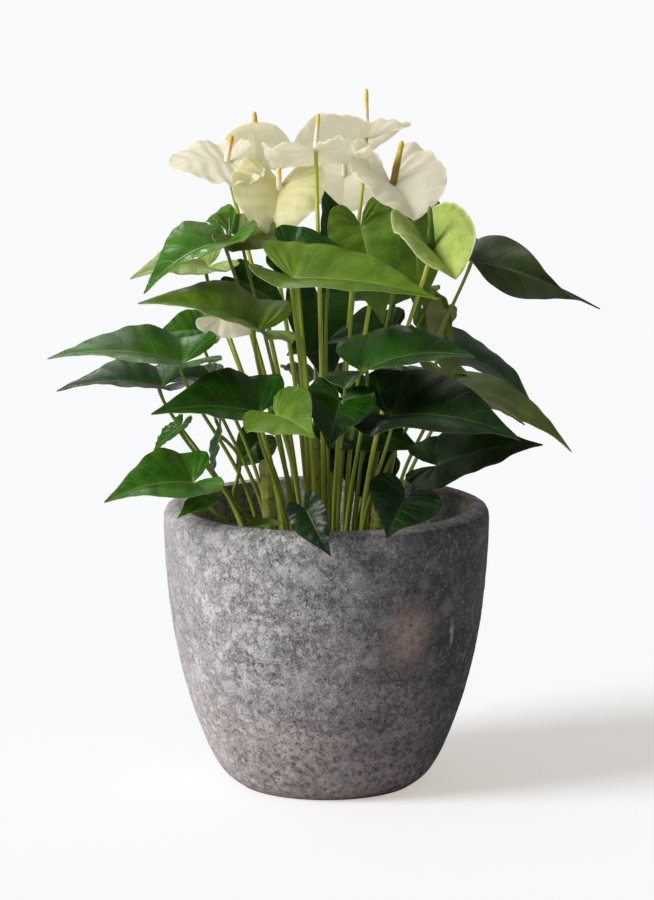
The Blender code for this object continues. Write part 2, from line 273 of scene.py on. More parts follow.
class Recipe(Nodes):
    """A node material that is being made."""

    def __init__(self, name: str) -> None:
        """Starts a material with its Principled shader.

        Args:
            name: the material's name.
        """
        self.material = bpy.data.materials.new(name)
        self.material.use_nodes = True
        super().__init__(self.material.node_tree)
        self.shader = self.tree.nodes["Principled BSDF"]

    def plain(self) -> Wire:
        """What the Principled shader gives."""
        return Wire(self, self.shader.outputs[0])

    def shown_as(self, shader: Wire) -> None:
        """Makes a shader the one that the surface shows."""
        self.tree.links.new(shader.socket, self.tree.nodes["Material Output"].inputs["Surface"])

    def let_through(self, colour: Triple, share: float) -> None:
        """Lets light that falls behind a thin sheet through it.

        Args:
            colour: the tint that the light takes.
            share: how much of the light goes through, 0 to 1.
        """
        behind = self.node("ShaderNodeBsdfTranslucent", inputs={"Color": colour})
        self.shown_as(self.node("ShaderNodeMixShader", inputs={0: share, 1: self.plain(), 2: behind}))

    def done(self, sockets: Mapping[str, Value]) -> bpy.types.Material:
        """Gives the Principled shader its values.

        Args:
            sockets: the value of each of its sockets, by name.

        Returns:
            The finished material.
        """
        for name, value in sockets.items():
            self.plug(self.shader.inputs[name], value)
        return self.material


class Backdrop(Nodes):
    """A world's background that is being made."""

    def __init__(self, world: bpy.types.World) -> None:
        """Starts from the world's own nodes."""
        world.use_nodes = True
        super().__init__(world.node_tree)

    def colour(self, value: Value) -> None:
        """Gives the background its colour."""
        self.plug(self.tree.nodes["Background"].inputs["Color"], value)


# ------------------------------------------------------------------------------------------------
# Finishes
# ------------------------------------------------------------------------------------------------
@dataclass(frozen=True)
class LeafFinish:
    """The colours of one age of leaf."""

    name: str
    shaded: Triple
    light: Triple
    vein: Triple
    under: Triple
    gloss: float
    shine: float = 0.32
    veins: float = 9.0
    vein_bend: float = 0.06

    # How many features of each pattern lie in a metre.
    VEIN_WANDER = 55
    CLOUDS = 26
    MOTTLE = 420
    NET = 330
    SWELLS = 70
    GLOSS_PATCHES = 90
    UNDER_CLOUDS = 40
    UNDER_GRAIN = 500
    EDGE_PATCHES = 60

    MARGIN_VEIN = 0.93  # how far out the vein along the margin runs
    THROAT = 0.36  # where the pale patch at the junction ends, along the blade
    RELIEF = 0.8 * MM

    def _vein_lines(self, recipe: Recipe) -> tuple[Wire, Wire, Wire, Wire]:
        """Draws the veins.

        Args:
            recipe: the material.

        Returns:
            The side veins, the midrib and the margin vein, each 0 to 1, and the reach from the midrib.
        """
        along, across = recipe.uv()
        reach = abs(across * 2 - 1)
        wander = recipe.grain(recipe.place(), self.VEIN_WANDER, 2) * 0.10
        phase = ((along - reach * reach * self.vein_bend) * self.veins + wander).fraction()
        side = recipe.fade(abs(phase - 0.5), 0.455, 0.5) * recipe.fade(reach, 1.0, 0.86)
        midrib = recipe.fade(reach, 0.05, 0.012)
        margin = recipe.fade(abs(reach - self.MARGIN_VEIN), 0.022, 0.004) * 0.5
        return side, midrib, margin, reach

    def upper(self) -> bpy.types.Material:
        """The upper side: glossy, darker between its pale veins.

        Returns:
            The material.
        """
        recipe = Recipe("leaf_" + self.name)
        at = recipe.place()
        along, _ = recipe.uv()
        side, midrib, margin, reach = self._vein_lines(recipe)
        cloud = recipe.fade(recipe.grain(at, self.CLOUDS, 4, 0.6), 0.32, 0.70)
        mottle = recipe.grain(at, self.MOTTLE, 3, 0.6)
        flesh = recipe.blend(cloud, self.shaded, self.light)
        flesh = recipe.blend(recipe.fade(mottle, 0.45, 0.75) * 0.12, flesh, self.vein)
        flesh = recipe.blend(recipe.fade(reach, 0.30, 0.0) * 0.12, flesh, self.vein)
        junction = recipe.fade(reach + (along - self.THROAT).most(0.0) * 3.0, 0.26, 0.06)
        flesh = recipe.blend(junction * 0.40, flesh, self.vein)
        lines = (side * 0.13).most(margin * 0.22).most(midrib * 0.60)
        net = recipe.fade(recipe.cells(at, self.NET, "DISTANCE_TO_EDGE"), 0.0, 0.16)
        height = net * 0.15 + recipe.fade(side, 1.0, 0.0) * 0.35 + recipe.grain(at, self.SWELLS, 3) * 0.6
        return recipe.done(
            {
                "Base Color": recipe.blend(lines, flesh, self.vein),
                "Roughness": self.gloss + recipe.grain(at, self.GLOSS_PATCHES, 3) * 0.14 + lines * 0.10,
                "Normal": recipe.relief(height, self.RELIEF, 0.6),
                "Specular IOR Level": self.shine,
            }
        )

    def lower(self) -> bpy.types.Material:
        """The underside: paler and dull, with its veins standing up.

        Returns:
            The material.
        """
        recipe = Recipe("leaf_under_" + self.name)
        at = recipe.place()
        side, midrib, margin, _ = self._vein_lines(recipe)
        lines = (side * 0.55).most(margin * 0.4).most(midrib * 0.9)
        cloud = recipe.grain(at, self.UNDER_CLOUDS, 4, 0.6)
        shade = tuple(0.62 * c for c in self.under)
        flesh = recipe.blend(recipe.fade(cloud, 0.3, 0.7), shade, self.under)
        height = lines * 0.8 + recipe.grain(at, self.UNDER_GRAIN, 3) * 0.2
        return recipe.done(
            {
                "Base Color": recipe.blend(lines * 0.6, flesh, self.vein),
                "Roughness": 0.58 + cloud * 0.1,
                "Normal": recipe.relief(height, self.RELIEF, 0.7),
                "Specular IOR Level": 0.3,
            }
        )

    def edge(self) -> bpy.types.Material:
        """The thin pale edge of the blade.

        Returns:
            The material.
        """
        recipe = Recipe("leaf_edge_" + self.name)
        tint = recipe.grain(recipe.place(), self.EDGE_PATCHES, 2)
        return recipe.done({"Base Color": recipe.blend(tint, self.vein, self.under), "Roughness": 0.45})


class Tone(Enum):
    """The ages of leaf on the plant, and a darker copy of the deep green that is painted shade for leaves in
    shadow.
    """

    # Painted shade: a darker copy of the deep green, for the leaves that lie in shadow.
    SHADED = LeafFinish(
        "shaded", paint(3, 27, 0), paint(15, 52, 4), paint(72, 104, 36), paint(58, 78, 36), 0.26
    )
    DEEP = LeafFinish(
        "deep", paint(9, 44, 0), paint(30, 80, 6), paint(104, 140, 52), paint(84, 112, 50), 0.24
    )
    MID = LeafFinish(
        "mid", paint(34, 84, 8), paint(70, 122, 24), paint(146, 176, 78), paint(112, 140, 66), 0.25
    )
    FRESH = LeafFinish(
        "fresh", paint(70, 106, 12), paint(106, 140, 34), paint(160, 182, 80), paint(142, 166, 78), 0.30
    )
    PALE = LeafFinish(
        "pale", paint(116, 146, 40), paint(156, 182, 76), paint(194, 210, 112), paint(172, 192, 104), 0.30
    )
    OLIVE = LeafFinish(
        "olive", paint(78, 100, 20), paint(112, 134, 40), paint(178, 186, 96), paint(156, 162, 100), 0.34
    )
    BRIGHT = LeafFinish(
        "bright", paint(30, 88, 0), paint(72, 132, 2), paint(156, 196, 70), paint(140, 170, 70), 0.05, 0.8
    )
    TURNED = LeafFinish(
        "turned", paint(36, 50, 20), paint(62, 80, 38), paint(122, 126, 92), paint(78, 78, 58), 0.34
    )


@dataclass(frozen=True)
class SpatheFinish:
    """The colours of one kind of spathe."""

    name: str
    field: Triple
    shade: Triple
    throat: Triple
    back: Triple
    margin: Triple
    glow: Triple
    flush: float = 0.5
    throat_reach: float = 0.45
    thinness: float = 0.45

    # How many features of each pattern lie in a metre.
    VEIN_WANDER = 60
    NET = 240
    CLOUDS = 34
    SWELLS = 85
    WAX = 200

    VEINS = 8.0
    VEIN_BEND = 0.08
    RIBS = (4.0, 26.0)  # fine folds: how many lie along the spathe, and across it
    THROAT = 0.36  # where the throat ends, along the spathe
    RELIEF = 1.6 * MM
    FLESH_DEPTH = (1.5 * MM,) * 3

    def face(self, backside: bool = False) -> bpy.types.Material:
        """One side of the spathe: waxy and finely netted, greener towards the throat.

        Args:
            backside: whether it is the outer side, whose veins stand up.

        Returns:
            backside: whether it is the outer side, which takes the back colour.
        """
        recipe = Recipe(("spathe_back_" if backside else "spathe_") + self.name)
        at = recipe.place()
        along, across = recipe.uv()
        reach = abs(across * 2 - 1)
        wander = recipe.grain(at, self.VEIN_WANDER, 3) * 0.3
        phase = ((along - reach * reach * self.VEIN_BEND) * self.VEINS + wander).fraction()
        side = recipe.fade(abs(phase - 0.5), 0.40, 0.5)
        midrib = recipe.fade(reach, 0.05, 0.0)
        net = recipe.fade(recipe.cells(at, self.NET, "DISTANCE_TO_EDGE"), 0.0, 0.22)
        cloud = recipe.fade(recipe.grain(at, self.CLOUDS, 4, 0.6), 0.35, 0.7)
        tone = recipe.blend(cloud * 0.6, self.back if backside else self.field, self.shade)
        throat = recipe.fade(reach + (along - self.THROAT).most(0.0) * 1.3, self.throat_reach, 0.05)
        tone = recipe.blend(throat * self.flush, tone, self.throat)
        rib_inputs = {0: along * self.RIBS[0], 1: across * self.RIBS[1]}
        rib_place = recipe.node("ShaderNodeCombineXYZ", inputs=rib_inputs)
        ribs = recipe.grain(rib_place, 1.0, 3, 0.6)
        tone = recipe.blend((side * 0.12).most(midrib * 0.25), tone, self.throat)
        # Painted shade: the hollows of the fine folds are darkened towards the shade colour.
        tone = recipe.blend(recipe.fade(ribs, 0.54, 0.36) * 0.65, tone, self.shade)
        tone = recipe.blend(recipe.fade(reach, 0.93, 1.0) * 0.8, tone, self.margin)
        height = net * 0.10 + recipe.fade(side, 1.0, 0.0) * 0.08 + recipe.grain(at, self.SWELLS, 3) * 0.6
        height = height + ribs * recipe.fade(along, 0.92, 0.70) * recipe.fade(reach, 1.0, 0.7) * 0.7
        recipe.let_through(self.glow, self.thinness)
        return recipe.done(
            {
                "Base Color": tone,
                "Roughness": 0.40 + recipe.grain(at, self.WAX, 2) * 0.16,
                "Normal": recipe.relief(height, self.RELIEF, 0.8),
                "Specular IOR Level": 0.35,
                "Subsurface Weight": 0.3,
                "Subsurface Radius": self.FLESH_DEPTH,
                "Subsurface Scale": 1.0,
            }
        )


class Bloom(Enum):
    """The kinds of spathe on the plant."""

    WHITE = SpatheFinish(
        "white", paint(255, 251, 240), paint(242, 232, 208), paint(222, 216, 150),
        paint(255, 249, 234), paint(255, 252, 242), paint(255, 252, 240), 0.45, 0.42, 0.55,
    )
    AGED = SpatheFinish(
        "aged", paint(253, 248, 230), paint(246, 238, 210), paint(214, 212, 140),
        paint(253, 246, 226), paint(253, 248, 228), paint(255, 252, 236), 0.5, 0.45, 0.55,
    )
    TURNING = SpatheFinish(
        "turning", paint(246, 242, 214), paint(222, 218, 166), paint(186, 190, 92),
        paint(240, 236, 200), paint(252, 250, 232), paint(250, 248, 216), 0.7, 0.65, 0.50,
    )
    GREEN = SpatheFinish(
        "green", paint(204, 220, 118), paint(160, 188, 74), paint(24, 60, 6),
        paint(176, 196, 92), paint(248, 246, 208), paint(190, 214, 90), 0.97, 0.62, 0.25,
    )


@dataclass(frozen=True)
class StemFinish:
    """A petiole's or a stalk's colours, from its foot to its top."""

    name: str
    foot: Triple
    top: Triple
    fleck: Triple

    STREAKS = 420  # a metre, across the stem
    LENGTHWISE = (1.0, 1.0, 0.08)  # draws the streaks out along the stem
    PATCHES = 24
    RELIEF = 0.4 * MM

    def material(self) -> bpy.types.Material:
        """Waxy green that pales upwards, with fine long streaks and flecks.

        Returns:
            The material.
        """
        recipe = Recipe("stem_" + self.name)
        at = recipe.place()
        along, _ = recipe.uv()
        drawn = recipe.node("ShaderNodeMapping", inputs={"Vector": at, "Scale": self.LENGTHWISE})
        streak = recipe.grain(drawn, self.STREAKS, 3, 0.6)
        patch = recipe.fade(recipe.grain(at, self.PATCHES, 3), 0.35, 0.65)
        tone = recipe.blend(recipe.fade(along, 0.0, 0.8), self.foot, self.top)
        tone = recipe.blend(patch * 0.35, tone, self.fleck)
        tone = recipe.blend(recipe.fade(streak, 0.5, 0.8) * 0.35, tone, self.fleck)
        return recipe.done(
            {
                "Base Color": tone,
                "Roughness": 0.38 + streak * 0.14,
                "Normal": recipe.relief(streak, self.RELIEF, 0.4),
                "Specular IOR Level": 0.4,
            }
        )


@dataclass(frozen=True)
class SpadixFinish:
    """A spadix's colours: its foot, its middle, its ripe tip and, as painted shade, the darker gaps between
    its buds.
    """

    name: str
    foot: Triple
    middle: Triple
    tip: Triple
    # painted shade in the gaps between the buds
    gap: Triple = paint(206, 170, 96)

    BUDS = 900  # a metre
    RIPENING = (0.0, 0.56, 0.82, 1.0)  # where along it the colours lie
    RELIEF = 0.3 * MM
    FLESH_DEPTH = (2.0 * MM, 1.8 * MM, 1.2 * MM)

    def material(self) -> bpy.types.Material:
        """Close rows of tiny buds, with colour that ripens towards the tip.

        Returns:
            The material.
        """
        recipe = Recipe("spadix_" + self.name)
        along, _ = recipe.uv()
        at = recipe.place()
        stops = tuple(zip(self.RIPENING, (self.foot, self.middle, self.tip, self.tip)))
        tone = recipe.node("ShaderNodeValToRGB", {"stops": stops}, {0: along})
        buds = recipe.cells(at, self.BUDS)
        # Painted shade in the gaps between the buds.
        tone = recipe.blend(recipe.fade(buds, 0.45, 0.75) * 0.35, tone, self.gap)
        height = recipe.fade(buds, 0.7, 0.1)
        return recipe.done(
            {
                "Base Color": tone,
                "Roughness": 0.5 + buds * 0.1,
                "Normal": recipe.relief(height, self.RELIEF, 0.6),
                "Subsurface Weight": 0.3,
                "Subsurface Radius": self.FLESH_DEPTH,
                "Subsurface Scale": 1.0,
            }
        )


class Ripeness(Enum):
    """The colours of spadix on the plant."""

    YELLOW = SpadixFinish("yellow", paint(255, 250, 230), paint(255, 244, 208), paint(242, 190, 66))
    PALE = SpadixFinish("pale", paint(255, 252, 238), paint(255, 248, 226), paint(248, 220, 110))
    OLIVE = SpadixFinish(
        "olive", paint(160, 122, 30), paint(156, 138, 30), paint(226, 206, 84), paint(96, 78, 20)
    )
    GREEN = SpadixFinish(
        "green", paint(60, 92, 20), paint(66, 100, 24), paint(112, 134, 44), paint(36, 60, 14)
    )


@dataclass(frozen=True)
class Grains:
    """The patterns of the glaze, each 0 to 1: the broadest first, then a banded one."""

    drift: Wire
    cloud: Wire
    powder: Wire
    grit: Wire
    band: Wire

    FLATTENING = (1, 1, 3.4)  # lays the bands level round the pot

    @classmethod
    def over(cls, recipe: Recipe, at: Wire) -> "Grains":
        """Lays the patterns over the pot.

        Args:
            recipe: the material.
            at: the place.

        Returns:
            The patterns.
        """
        flat = recipe.node("ShaderNodeMapping", inputs={"Vector": at, "Scale": cls.FLATTENING})
        return cls(
            drift=recipe.grain(at, 7.0, 3, 0.55),
            cloud=recipe.grain(at, 30, 6, 0.66),
            powder=recipe.grain(at, 150, 6, 0.72),
            grit=recipe.grain(at, 640, 3, 0.7),
            band=recipe.grain(flat, 9.0, 4, 0.6),
        )


@dataclass(frozen=True)
class StoneGlaze:
    """The pot's rough glaze and the clay where it is worn."""

    charcoal: Triple = paint(54, 52, 56)
    stone: Triple = paint(160, 154, 157)
    pale: Triple = paint(240, 236, 238)
    ash: Triple = paint(255, 252, 253)
    umber: Triple = paint(212, 190, 188)
    tan: Triple = paint(222, 192, 178)
    clay: Triple = paint(206, 146, 120)

    # Where things lie on the pot, in metres: each begins at the first value and is full at the second.
    ASH_AND_LIT_SIDE = (-0.07, 0.17)  # the side that the ash fell on, which the key light falls on too; its paleness is partly ash and partly painted light
    # painted shade: the side away from the key light, darkened towards charcoal, partly for the glaze's own
    # charcoal
    SHADED_SIDE = (0.0, 0.13)
    # painted light: the flank that faces the key light
    LIT_EDGE = (-0.07, -0.145)
    # painted light, partly ash: the crest on the lit side, the rim's top all round, and the inner wall are
    # painted pale
    ASH_AND_LIT_CREST_HEIGHT = (0.236, 0.262)
    ASH_AND_LIT_CREST_SIDE = (0.12, -0.05)
    LIT_RIM_TOP = (0.2645, 0.2685)
    LIT_INNER_RADIUS = (0.1405, 0.1385)
    LIT_INNER_HEIGHT = (0.200, 0.206)
    LOW_BODY = (0.14, 0.02)
    LOW_BANDS = (0.22, 0.12)
    LOW_SIDE = (0.14, 0.04)
    SHOULDER_RADIUS = (0.1392, 0.1380)
    SHOULDER_HEIGHT = (0.2635, 0.2650)
    FOOT_HEIGHT = (0.0064, 0.0026)
    BLOOM_PLACE = (0.076, -0.124, 0.136)
    BLOOM_RADIUS = (0.050, 0.020)
    SCRATCH_SIDE = 0.1150
    SCRATCH_HEIGHT = 0.162
    SCRATCH_WIDTH = (0.0022, 0.0008)
    SCRATCH_LENGTH = (0.012, 0.006)

    PITS = 400  # a metre
    RELIEF = 4.8 * MM

    def material(self) -> bpy.types.Material:
        """Mottled charcoal and stone, spotted with ash, gritty, with worn clay at its edges.

        Returns:
            The material.
        """
        recipe = Recipe("stone_glaze")
        at = recipe.place()
        axes = x, _, z = recipe.split(at)
        grains = Grains.over(recipe, at)
        # Ash lies thick on one side and on the crest of the rim, and thins towards the other; that side and
        # the crest are also painted paler as painted light, and so is the inner wall.
        side = z * 0.26 - x + (grains.drift - 0.5) * 0.20 + (grains.cloud - 0.5) * 0.06
        lean = recipe.fade(side, *self.ASH_AND_LIT_SIDE)
        tone = self._body(recipe, grains, axes, lean)
        tone = recipe.blend(self._ash(recipe, at, grains, lean), tone, self.ash)
        soot = recipe.fade(grains.grit + grains.powder * 0.5, 0.76, 0.58)
        tone = recipe.blend(soot * 0.32, tone, self.charcoal)
        tone = self._marks(recipe, at, axes, grains.powder, tone)
        tone = recipe.blend(self._worn(recipe, grains, axes) * 0.8, tone, self.clay)
        pits = recipe.fade(recipe.grain(at, self.PITS, 5, 0.75), 0.43, 0.34)
        tone = recipe.blend(pits * 0.6, tone, tuple(0.45 * c for c in self.charcoal))
        rough_patch = recipe.fade(grains.drift + grains.cloud * 0.5, 0.62, 0.82)
        height = grains.powder * 0.35 + grains.grit * (rough_patch * 0.6 + 0.55)
        height = height + grains.cloud * 0.3 - pits * 0.3
        return recipe.done(
            {
                "Base Color": tone,
                "Roughness": 0.50 + grains.powder * 0.3,
                "Normal": recipe.relief(height, self.RELIEF, 1.0),
                "Specular IOR Level": 0.45,
            }
        )

    def _body(self, recipe: Recipe, grains: Grains, axes: Sequence[Wire], lean: Wire) -> Wire:
        """The mottled glaze before its spots: darker on one side as painted shade, and paler on the other, on
        the rim and on the inner wall as painted light, partly ash on that side and the crest.

        Args:
            recipe: the material.
            grains: the glaze's patterns.
            axes: the place's three parts.
            lean: how much of the ash side, which is also painted light, a place has, 0 to 1.

        Returns:
            The colour.
        """
        x, y, z = axes
        cloud = grains.cloud - 0.5
        radius = (x * x + y * y) ** 0.5
        # Painted light: the crest, partly ash, the rim's top all round and the inner wall are painted pale
        # where the key light falls.
        ash_and_light_on_rim = recipe.fade(z + cloud * 0.02, *self.ASH_AND_LIT_CREST_HEIGHT) * recipe.fade(x, *self.ASH_AND_LIT_CREST_SIDE) * 0.8
        inside = recipe.fade(radius, *self.LIT_INNER_RADIUS) * recipe.fade(z, *self.LIT_INNER_HEIGHT)
        ash_and_light_on_rim = ash_and_light_on_rim.most(recipe.fade(z, *self.LIT_RIM_TOP) * 0.85).most(inside)
        body = grains.cloud * 0.25 + grains.powder * 0.45 + grains.band * 0.20 + grains.grit * 0.40
        tone = recipe.blend(recipe.fade(body, 0.48, 0.88), self.charcoal, self.stone)
        # Painted shade: the side away from the key light is darkened towards charcoal, partly for the glaze's
        # own charcoal.
        deep = recipe.fade(x + (grains.drift - 0.5) * 0.12 + cloud * 0.04, *self.SHADED_SIDE)
        tone = recipe.blend(deep * 0.74, tone, self.charcoal)
        # Painted light: the ash side, the crest, the rim's top and the inner wall are painted pale; the ash
        # side and the crest are partly pale for their ash.
        tone = recipe.blend((lean * 0.85).most(ash_and_light_on_rim) * recipe.fade(body, 0.44, 0.82), tone, self.pale)
        # Painted light: the flank that faces the key light is painted paler.
        edge = recipe.fade(x + cloud * 0.05, *self.LIT_EDGE) * 0.55
        tone = recipe.blend(edge, tone, self.pale)
        bands = recipe.fade(grains.band, 0.42, 0.60) * recipe.fade(z, *self.LOW_BANDS) * 0.5
        low = recipe.fade(z, *self.LOW_BODY) * 0.8 + bands
        low = low * recipe.fade(x, *self.LOW_SIDE)
        return recipe.blend(low.least(0.85) * recipe.fade(grains.powder, 0.34, 0.62) * 0.8, tone, self.umber)

    def _ash(self, recipe: Recipe, at: Wire, grains: Grains, lean: Wire) -> Wire:
        """Soft blotches a centimetre across, flecks, and pin specks.

        Args:
            recipe: the material.
            at: the place.
            grains: the glaze's patterns.
            lean: how much of the ash side a place has, 0 to 1.

        Returns:
            How much ash lies at the place, 0 to 1.
        """
        thick = lean * lean + recipe.fade(grains.cloud, 0.35, 0.65) * 0.16
        near = recipe.bent(at, 120, 10 * MM)
        large = recipe.blots(near, 62, 0.62, 0.20, 0.62) * 0.70
        middle = recipe.blots(near, 130, 0.62, 0.18, 0.60) * 0.90
        small = recipe.blots(recipe.bent(at, 400, 3 * MM), 330, 0.62, 0.18, 0.55) * 0.85
        haze = recipe.fade(grains.cloud * 0.5 + grains.powder * 0.6, 0.52, 0.74) * 0.40
        speck = recipe.fade(grains.grit, 0.60, 0.72) * 0.5
        spots = large.most(middle).most(haze) * (thick * 1.05 + 0.04)
        fine = small.most(speck) * (thick * 0.65 + 0.16)
        return (spots.most(fine) * recipe.fade(grains.grit + grains.powder, 0.55, 0.95)).least(0.92)

    def _marks(self, recipe: Recipe, at: Wire, axes: Sequence[Wire], powder: Wire, tone: Wire) -> Wire:
        """Adds the tan bloom on the front, and the short pale scratch beside it.

        Args:
            recipe: the material.
            at: the place.
            axes: the place's three parts.
            powder: the pattern that breaks their edges.
            tone: the colour so far.

        Returns:
            The colour with the marks.
        """
        x, y, z = axes
        tall = recipe.node("ShaderNodeMapping", inputs={"Vector": at, "Scale": (1.0, 1.0, 0.8)})
        inputs = {0: tall, 1: self.BLOOM_PLACE}
        away = recipe.node("ShaderNodeVectorMath", {"operation": "DISTANCE"}, inputs, "Value")
        bloom = recipe.fade(away + powder * 0.030, *self.BLOOM_RADIUS) * recipe.fade(powder, 0.26, 0.56)
        tone = recipe.blend(bloom * 0.70, tone, self.tan)
        aside = abs(x - self.SCRATCH_SIDE - z * 0.02 + powder * 0.002)
        along = abs(z - self.SCRATCH_HEIGHT)
        scratch = recipe.fade(aside, *self.SCRATCH_WIDTH)
        scratch = scratch * recipe.fade(along, *self.SCRATCH_LENGTH) * recipe.fade(y, 0.0, -0.02)
        return recipe.blend(scratch * recipe.fade(powder, 0.3, 0.6) * 0.55, tone, self.pale)

    def _worn(self, recipe: Recipe, grains: Grains, axes: Sequence[Wire]) -> Wire:
        """Where the glaze is worn to the clay: on the inner shoulder and at the foot.

        Args:
            recipe: the material.
            grains: the glaze's patterns.
            axes: the place's three parts.

        Returns:
            How worn the place is, 0 to 1.
        """
        x, y, z = axes
        radius = (x * x + y * y) ** 0.5
        shoulder = recipe.fade(radius, *self.SHOULDER_RADIUS) * recipe.fade(z, *self.SHOULDER_HEIGHT)
        foot = recipe.fade(z + grains.powder * 0.004, *self.FOOT_HEIGHT)
        foot = foot * recipe.fade(grains.drift, 0.38, 0.55)
        return (shoulder * recipe.fade(grains.band, 0.36, 0.50)).most(foot)


@dataclass(frozen=True)
class EarthFinish:
    """The colours of soil, bark chips and dry scraps."""

    name: str
    shaded: Triple
    light: Triple
    grit: float

    COARSE = 0.16  # how many clods there are for each crumb
    RELIEF = 1.2 * MM

    def material(self) -> bpy.types.Material:
        """Crumbly and dull.

        Returns:
            The material.
        """
        recipe = Recipe(self.name)
        at = recipe.place()
        crumb = recipe.grain(at, self.grit, 6, 0.7)
        clod = recipe.grain(at, self.grit * self.COARSE, 2)
        tone = recipe.blend(recipe.fade(crumb * 0.6 + clod * 0.4, 0.38, 0.66), self.shaded, self.light)
        return recipe.done(
            {
                "Base Color": tone,
                "Roughness": 0.86 + crumb * 0.1,
                "Normal": recipe.relief(crumb, self.RELIEF, 0.8),
                "Specular IOR Level": 0.2,
            }
        )


@dataclass(frozen=True)
class BarkFinish:
    """The colours of a cane: green between its nodes, brown and papery at them."""

    green: Triple = paint(168, 178, 66)
    pale: Triple = paint(212, 212, 118)
    brown: Triple = paint(92, 70, 40)

    STREAKS = 300  # a metre, across the cane
    LENGTHWISE = (1.0, 1.0, 0.15)  # draws the streaks out along the cane
    PATCHES = 60
    RINGS = 5.0
    RELIEF = 1.0 * MM

    def material(self) -> bpy.types.Material:
        """Ringed with old leaf scars.

        Returns:
            The material.
        """
        recipe = Recipe("cane_bark")
        at = recipe.place()
        along, _ = recipe.uv()
        drawn = recipe.node("ShaderNodeMapping", inputs={"Vector": at, "Scale": self.LENGTHWISE})
        streak = recipe.grain(drawn, self.STREAKS, 4, 0.65)
        patch = recipe.grain(at, self.PATCHES, 4, 0.65)
        ring = recipe.fade(abs((along * self.RINGS + patch * 1.6).fraction() - 0.5), 0.40, 0.5)
        tone = recipe.blend(recipe.fade(streak, 0.35, 0.7), self.green, self.pale)
        tone = recipe.blend((ring * 0.45).most(recipe.fade(patch, 0.58, 0.74) * 0.6), tone, self.brown)
        return recipe.done(
            {
                "Base Color": tone,
                "Roughness": 0.6 + patch * 0.2,
                "Normal": recipe.relief(streak * 0.6 + ring * 0.4, self.RELIEF, 0.7),
            }
        )


class Library:
    """The finished materials, each made once."""

    PETIOLE = StemFinish("petiole", paint(164, 172, 64), paint(134, 154, 50), paint(104, 130, 36))
    STALK = StemFinish("stalk", paint(160, 172, 56), paint(206, 214, 84), paint(142, 164, 48))
    SOIL = EarthFinish("soil", paint(26, 20, 17), paint(62, 50, 41), 260)
    CHIPS = EarthFinish("bark_chips", paint(44, 33, 26), paint(104, 82, 62), 420)
    SCRAP = EarthFinish("dry_scrap", paint(96, 70, 44), paint(176, 146, 100), 300)

    def __init__(self) -> None:
        """Makes every material of the object."""
        self.leaf = {t: (t.value.upper(), t.value.lower(), t.value.edge()) for t in Tone}
        self.spathe = {b: (b.value.face(), b.value.face(backside=True)) for b in Bloom}
        self.spadix = {r: r.value.material() for r in Ripeness}
        self.petiole = self.PETIOLE.material()
        self.stalk = self.STALK.material()
        self.glaze = StoneGlaze().material()
        self.soil = self.SOIL.material()
        self.chips = self.CHIPS.material()
        self.scrap = self.SCRAP.material()
        self.bark = BarkFinish().material()


# ------------------------------------------------------------------------------------------------
# Curves and meshes
# ------------------------------------------------------------------------------------------------
def cubic(points: Sequence[Sequence[float]], place: float) -> list[float]:
    """A point on the smooth curve through some points.

    Args:
        points: the points that it goes through.
        place: where on the curve, counted in points.

    Returns:
        The point's parts.
    """
    last = len(points) - 1
    index = min(max(int(place), 0), last - 1)
    t = place - index
    a, b, c, d = (points[min(max(index + k, 0), last)] for k in (-1, 0, 1, 2))
    return [
        0.5 * (2 * q + (r - p) * t + (2 * p - 5 * q + 4 * r - s) * t**2 + (3 * q - p - 3 * r + s) * t**3)
        for p, q, r, s in zip(a, b, c, d)
    ]


def bezier(start: Vector, first: Vector, second: Vector, end: Vector, count: int) -> list[Vector]:
    """A cubic Bezier curve.

    Args:
        start: its first end.
        first: the point that it sets out towards.
        second: the point that it arrives from.
        end: its last end.
        count: how many points to give.

    Returns:
        That many points on it.
    """
    points = []
    for i in range(count):
        t = i / (count - 1)
        s = 1 - t
        points.append(s**3 * start + 3 * s * s * t * first + 3 * s * t * t * second + t**3 * end)
    return points


def smooth_route(route: Sequence[Vector], count: int) -> list[Vector]:
    """The route with that many points on one smooth curve."""
    last = len(route) - 1
    return [Vector(cubic(route, last * i / (count - 1))) for i in range(count)]


def sink(route: list[Vector], radii: list[float]) -> None:
    """Takes the foot of a stem down into the soil, no thinner."""
    route.insert(0, route[0] - Vector((0, 0, SUNK)))
    radii.insert(0, radii[0])


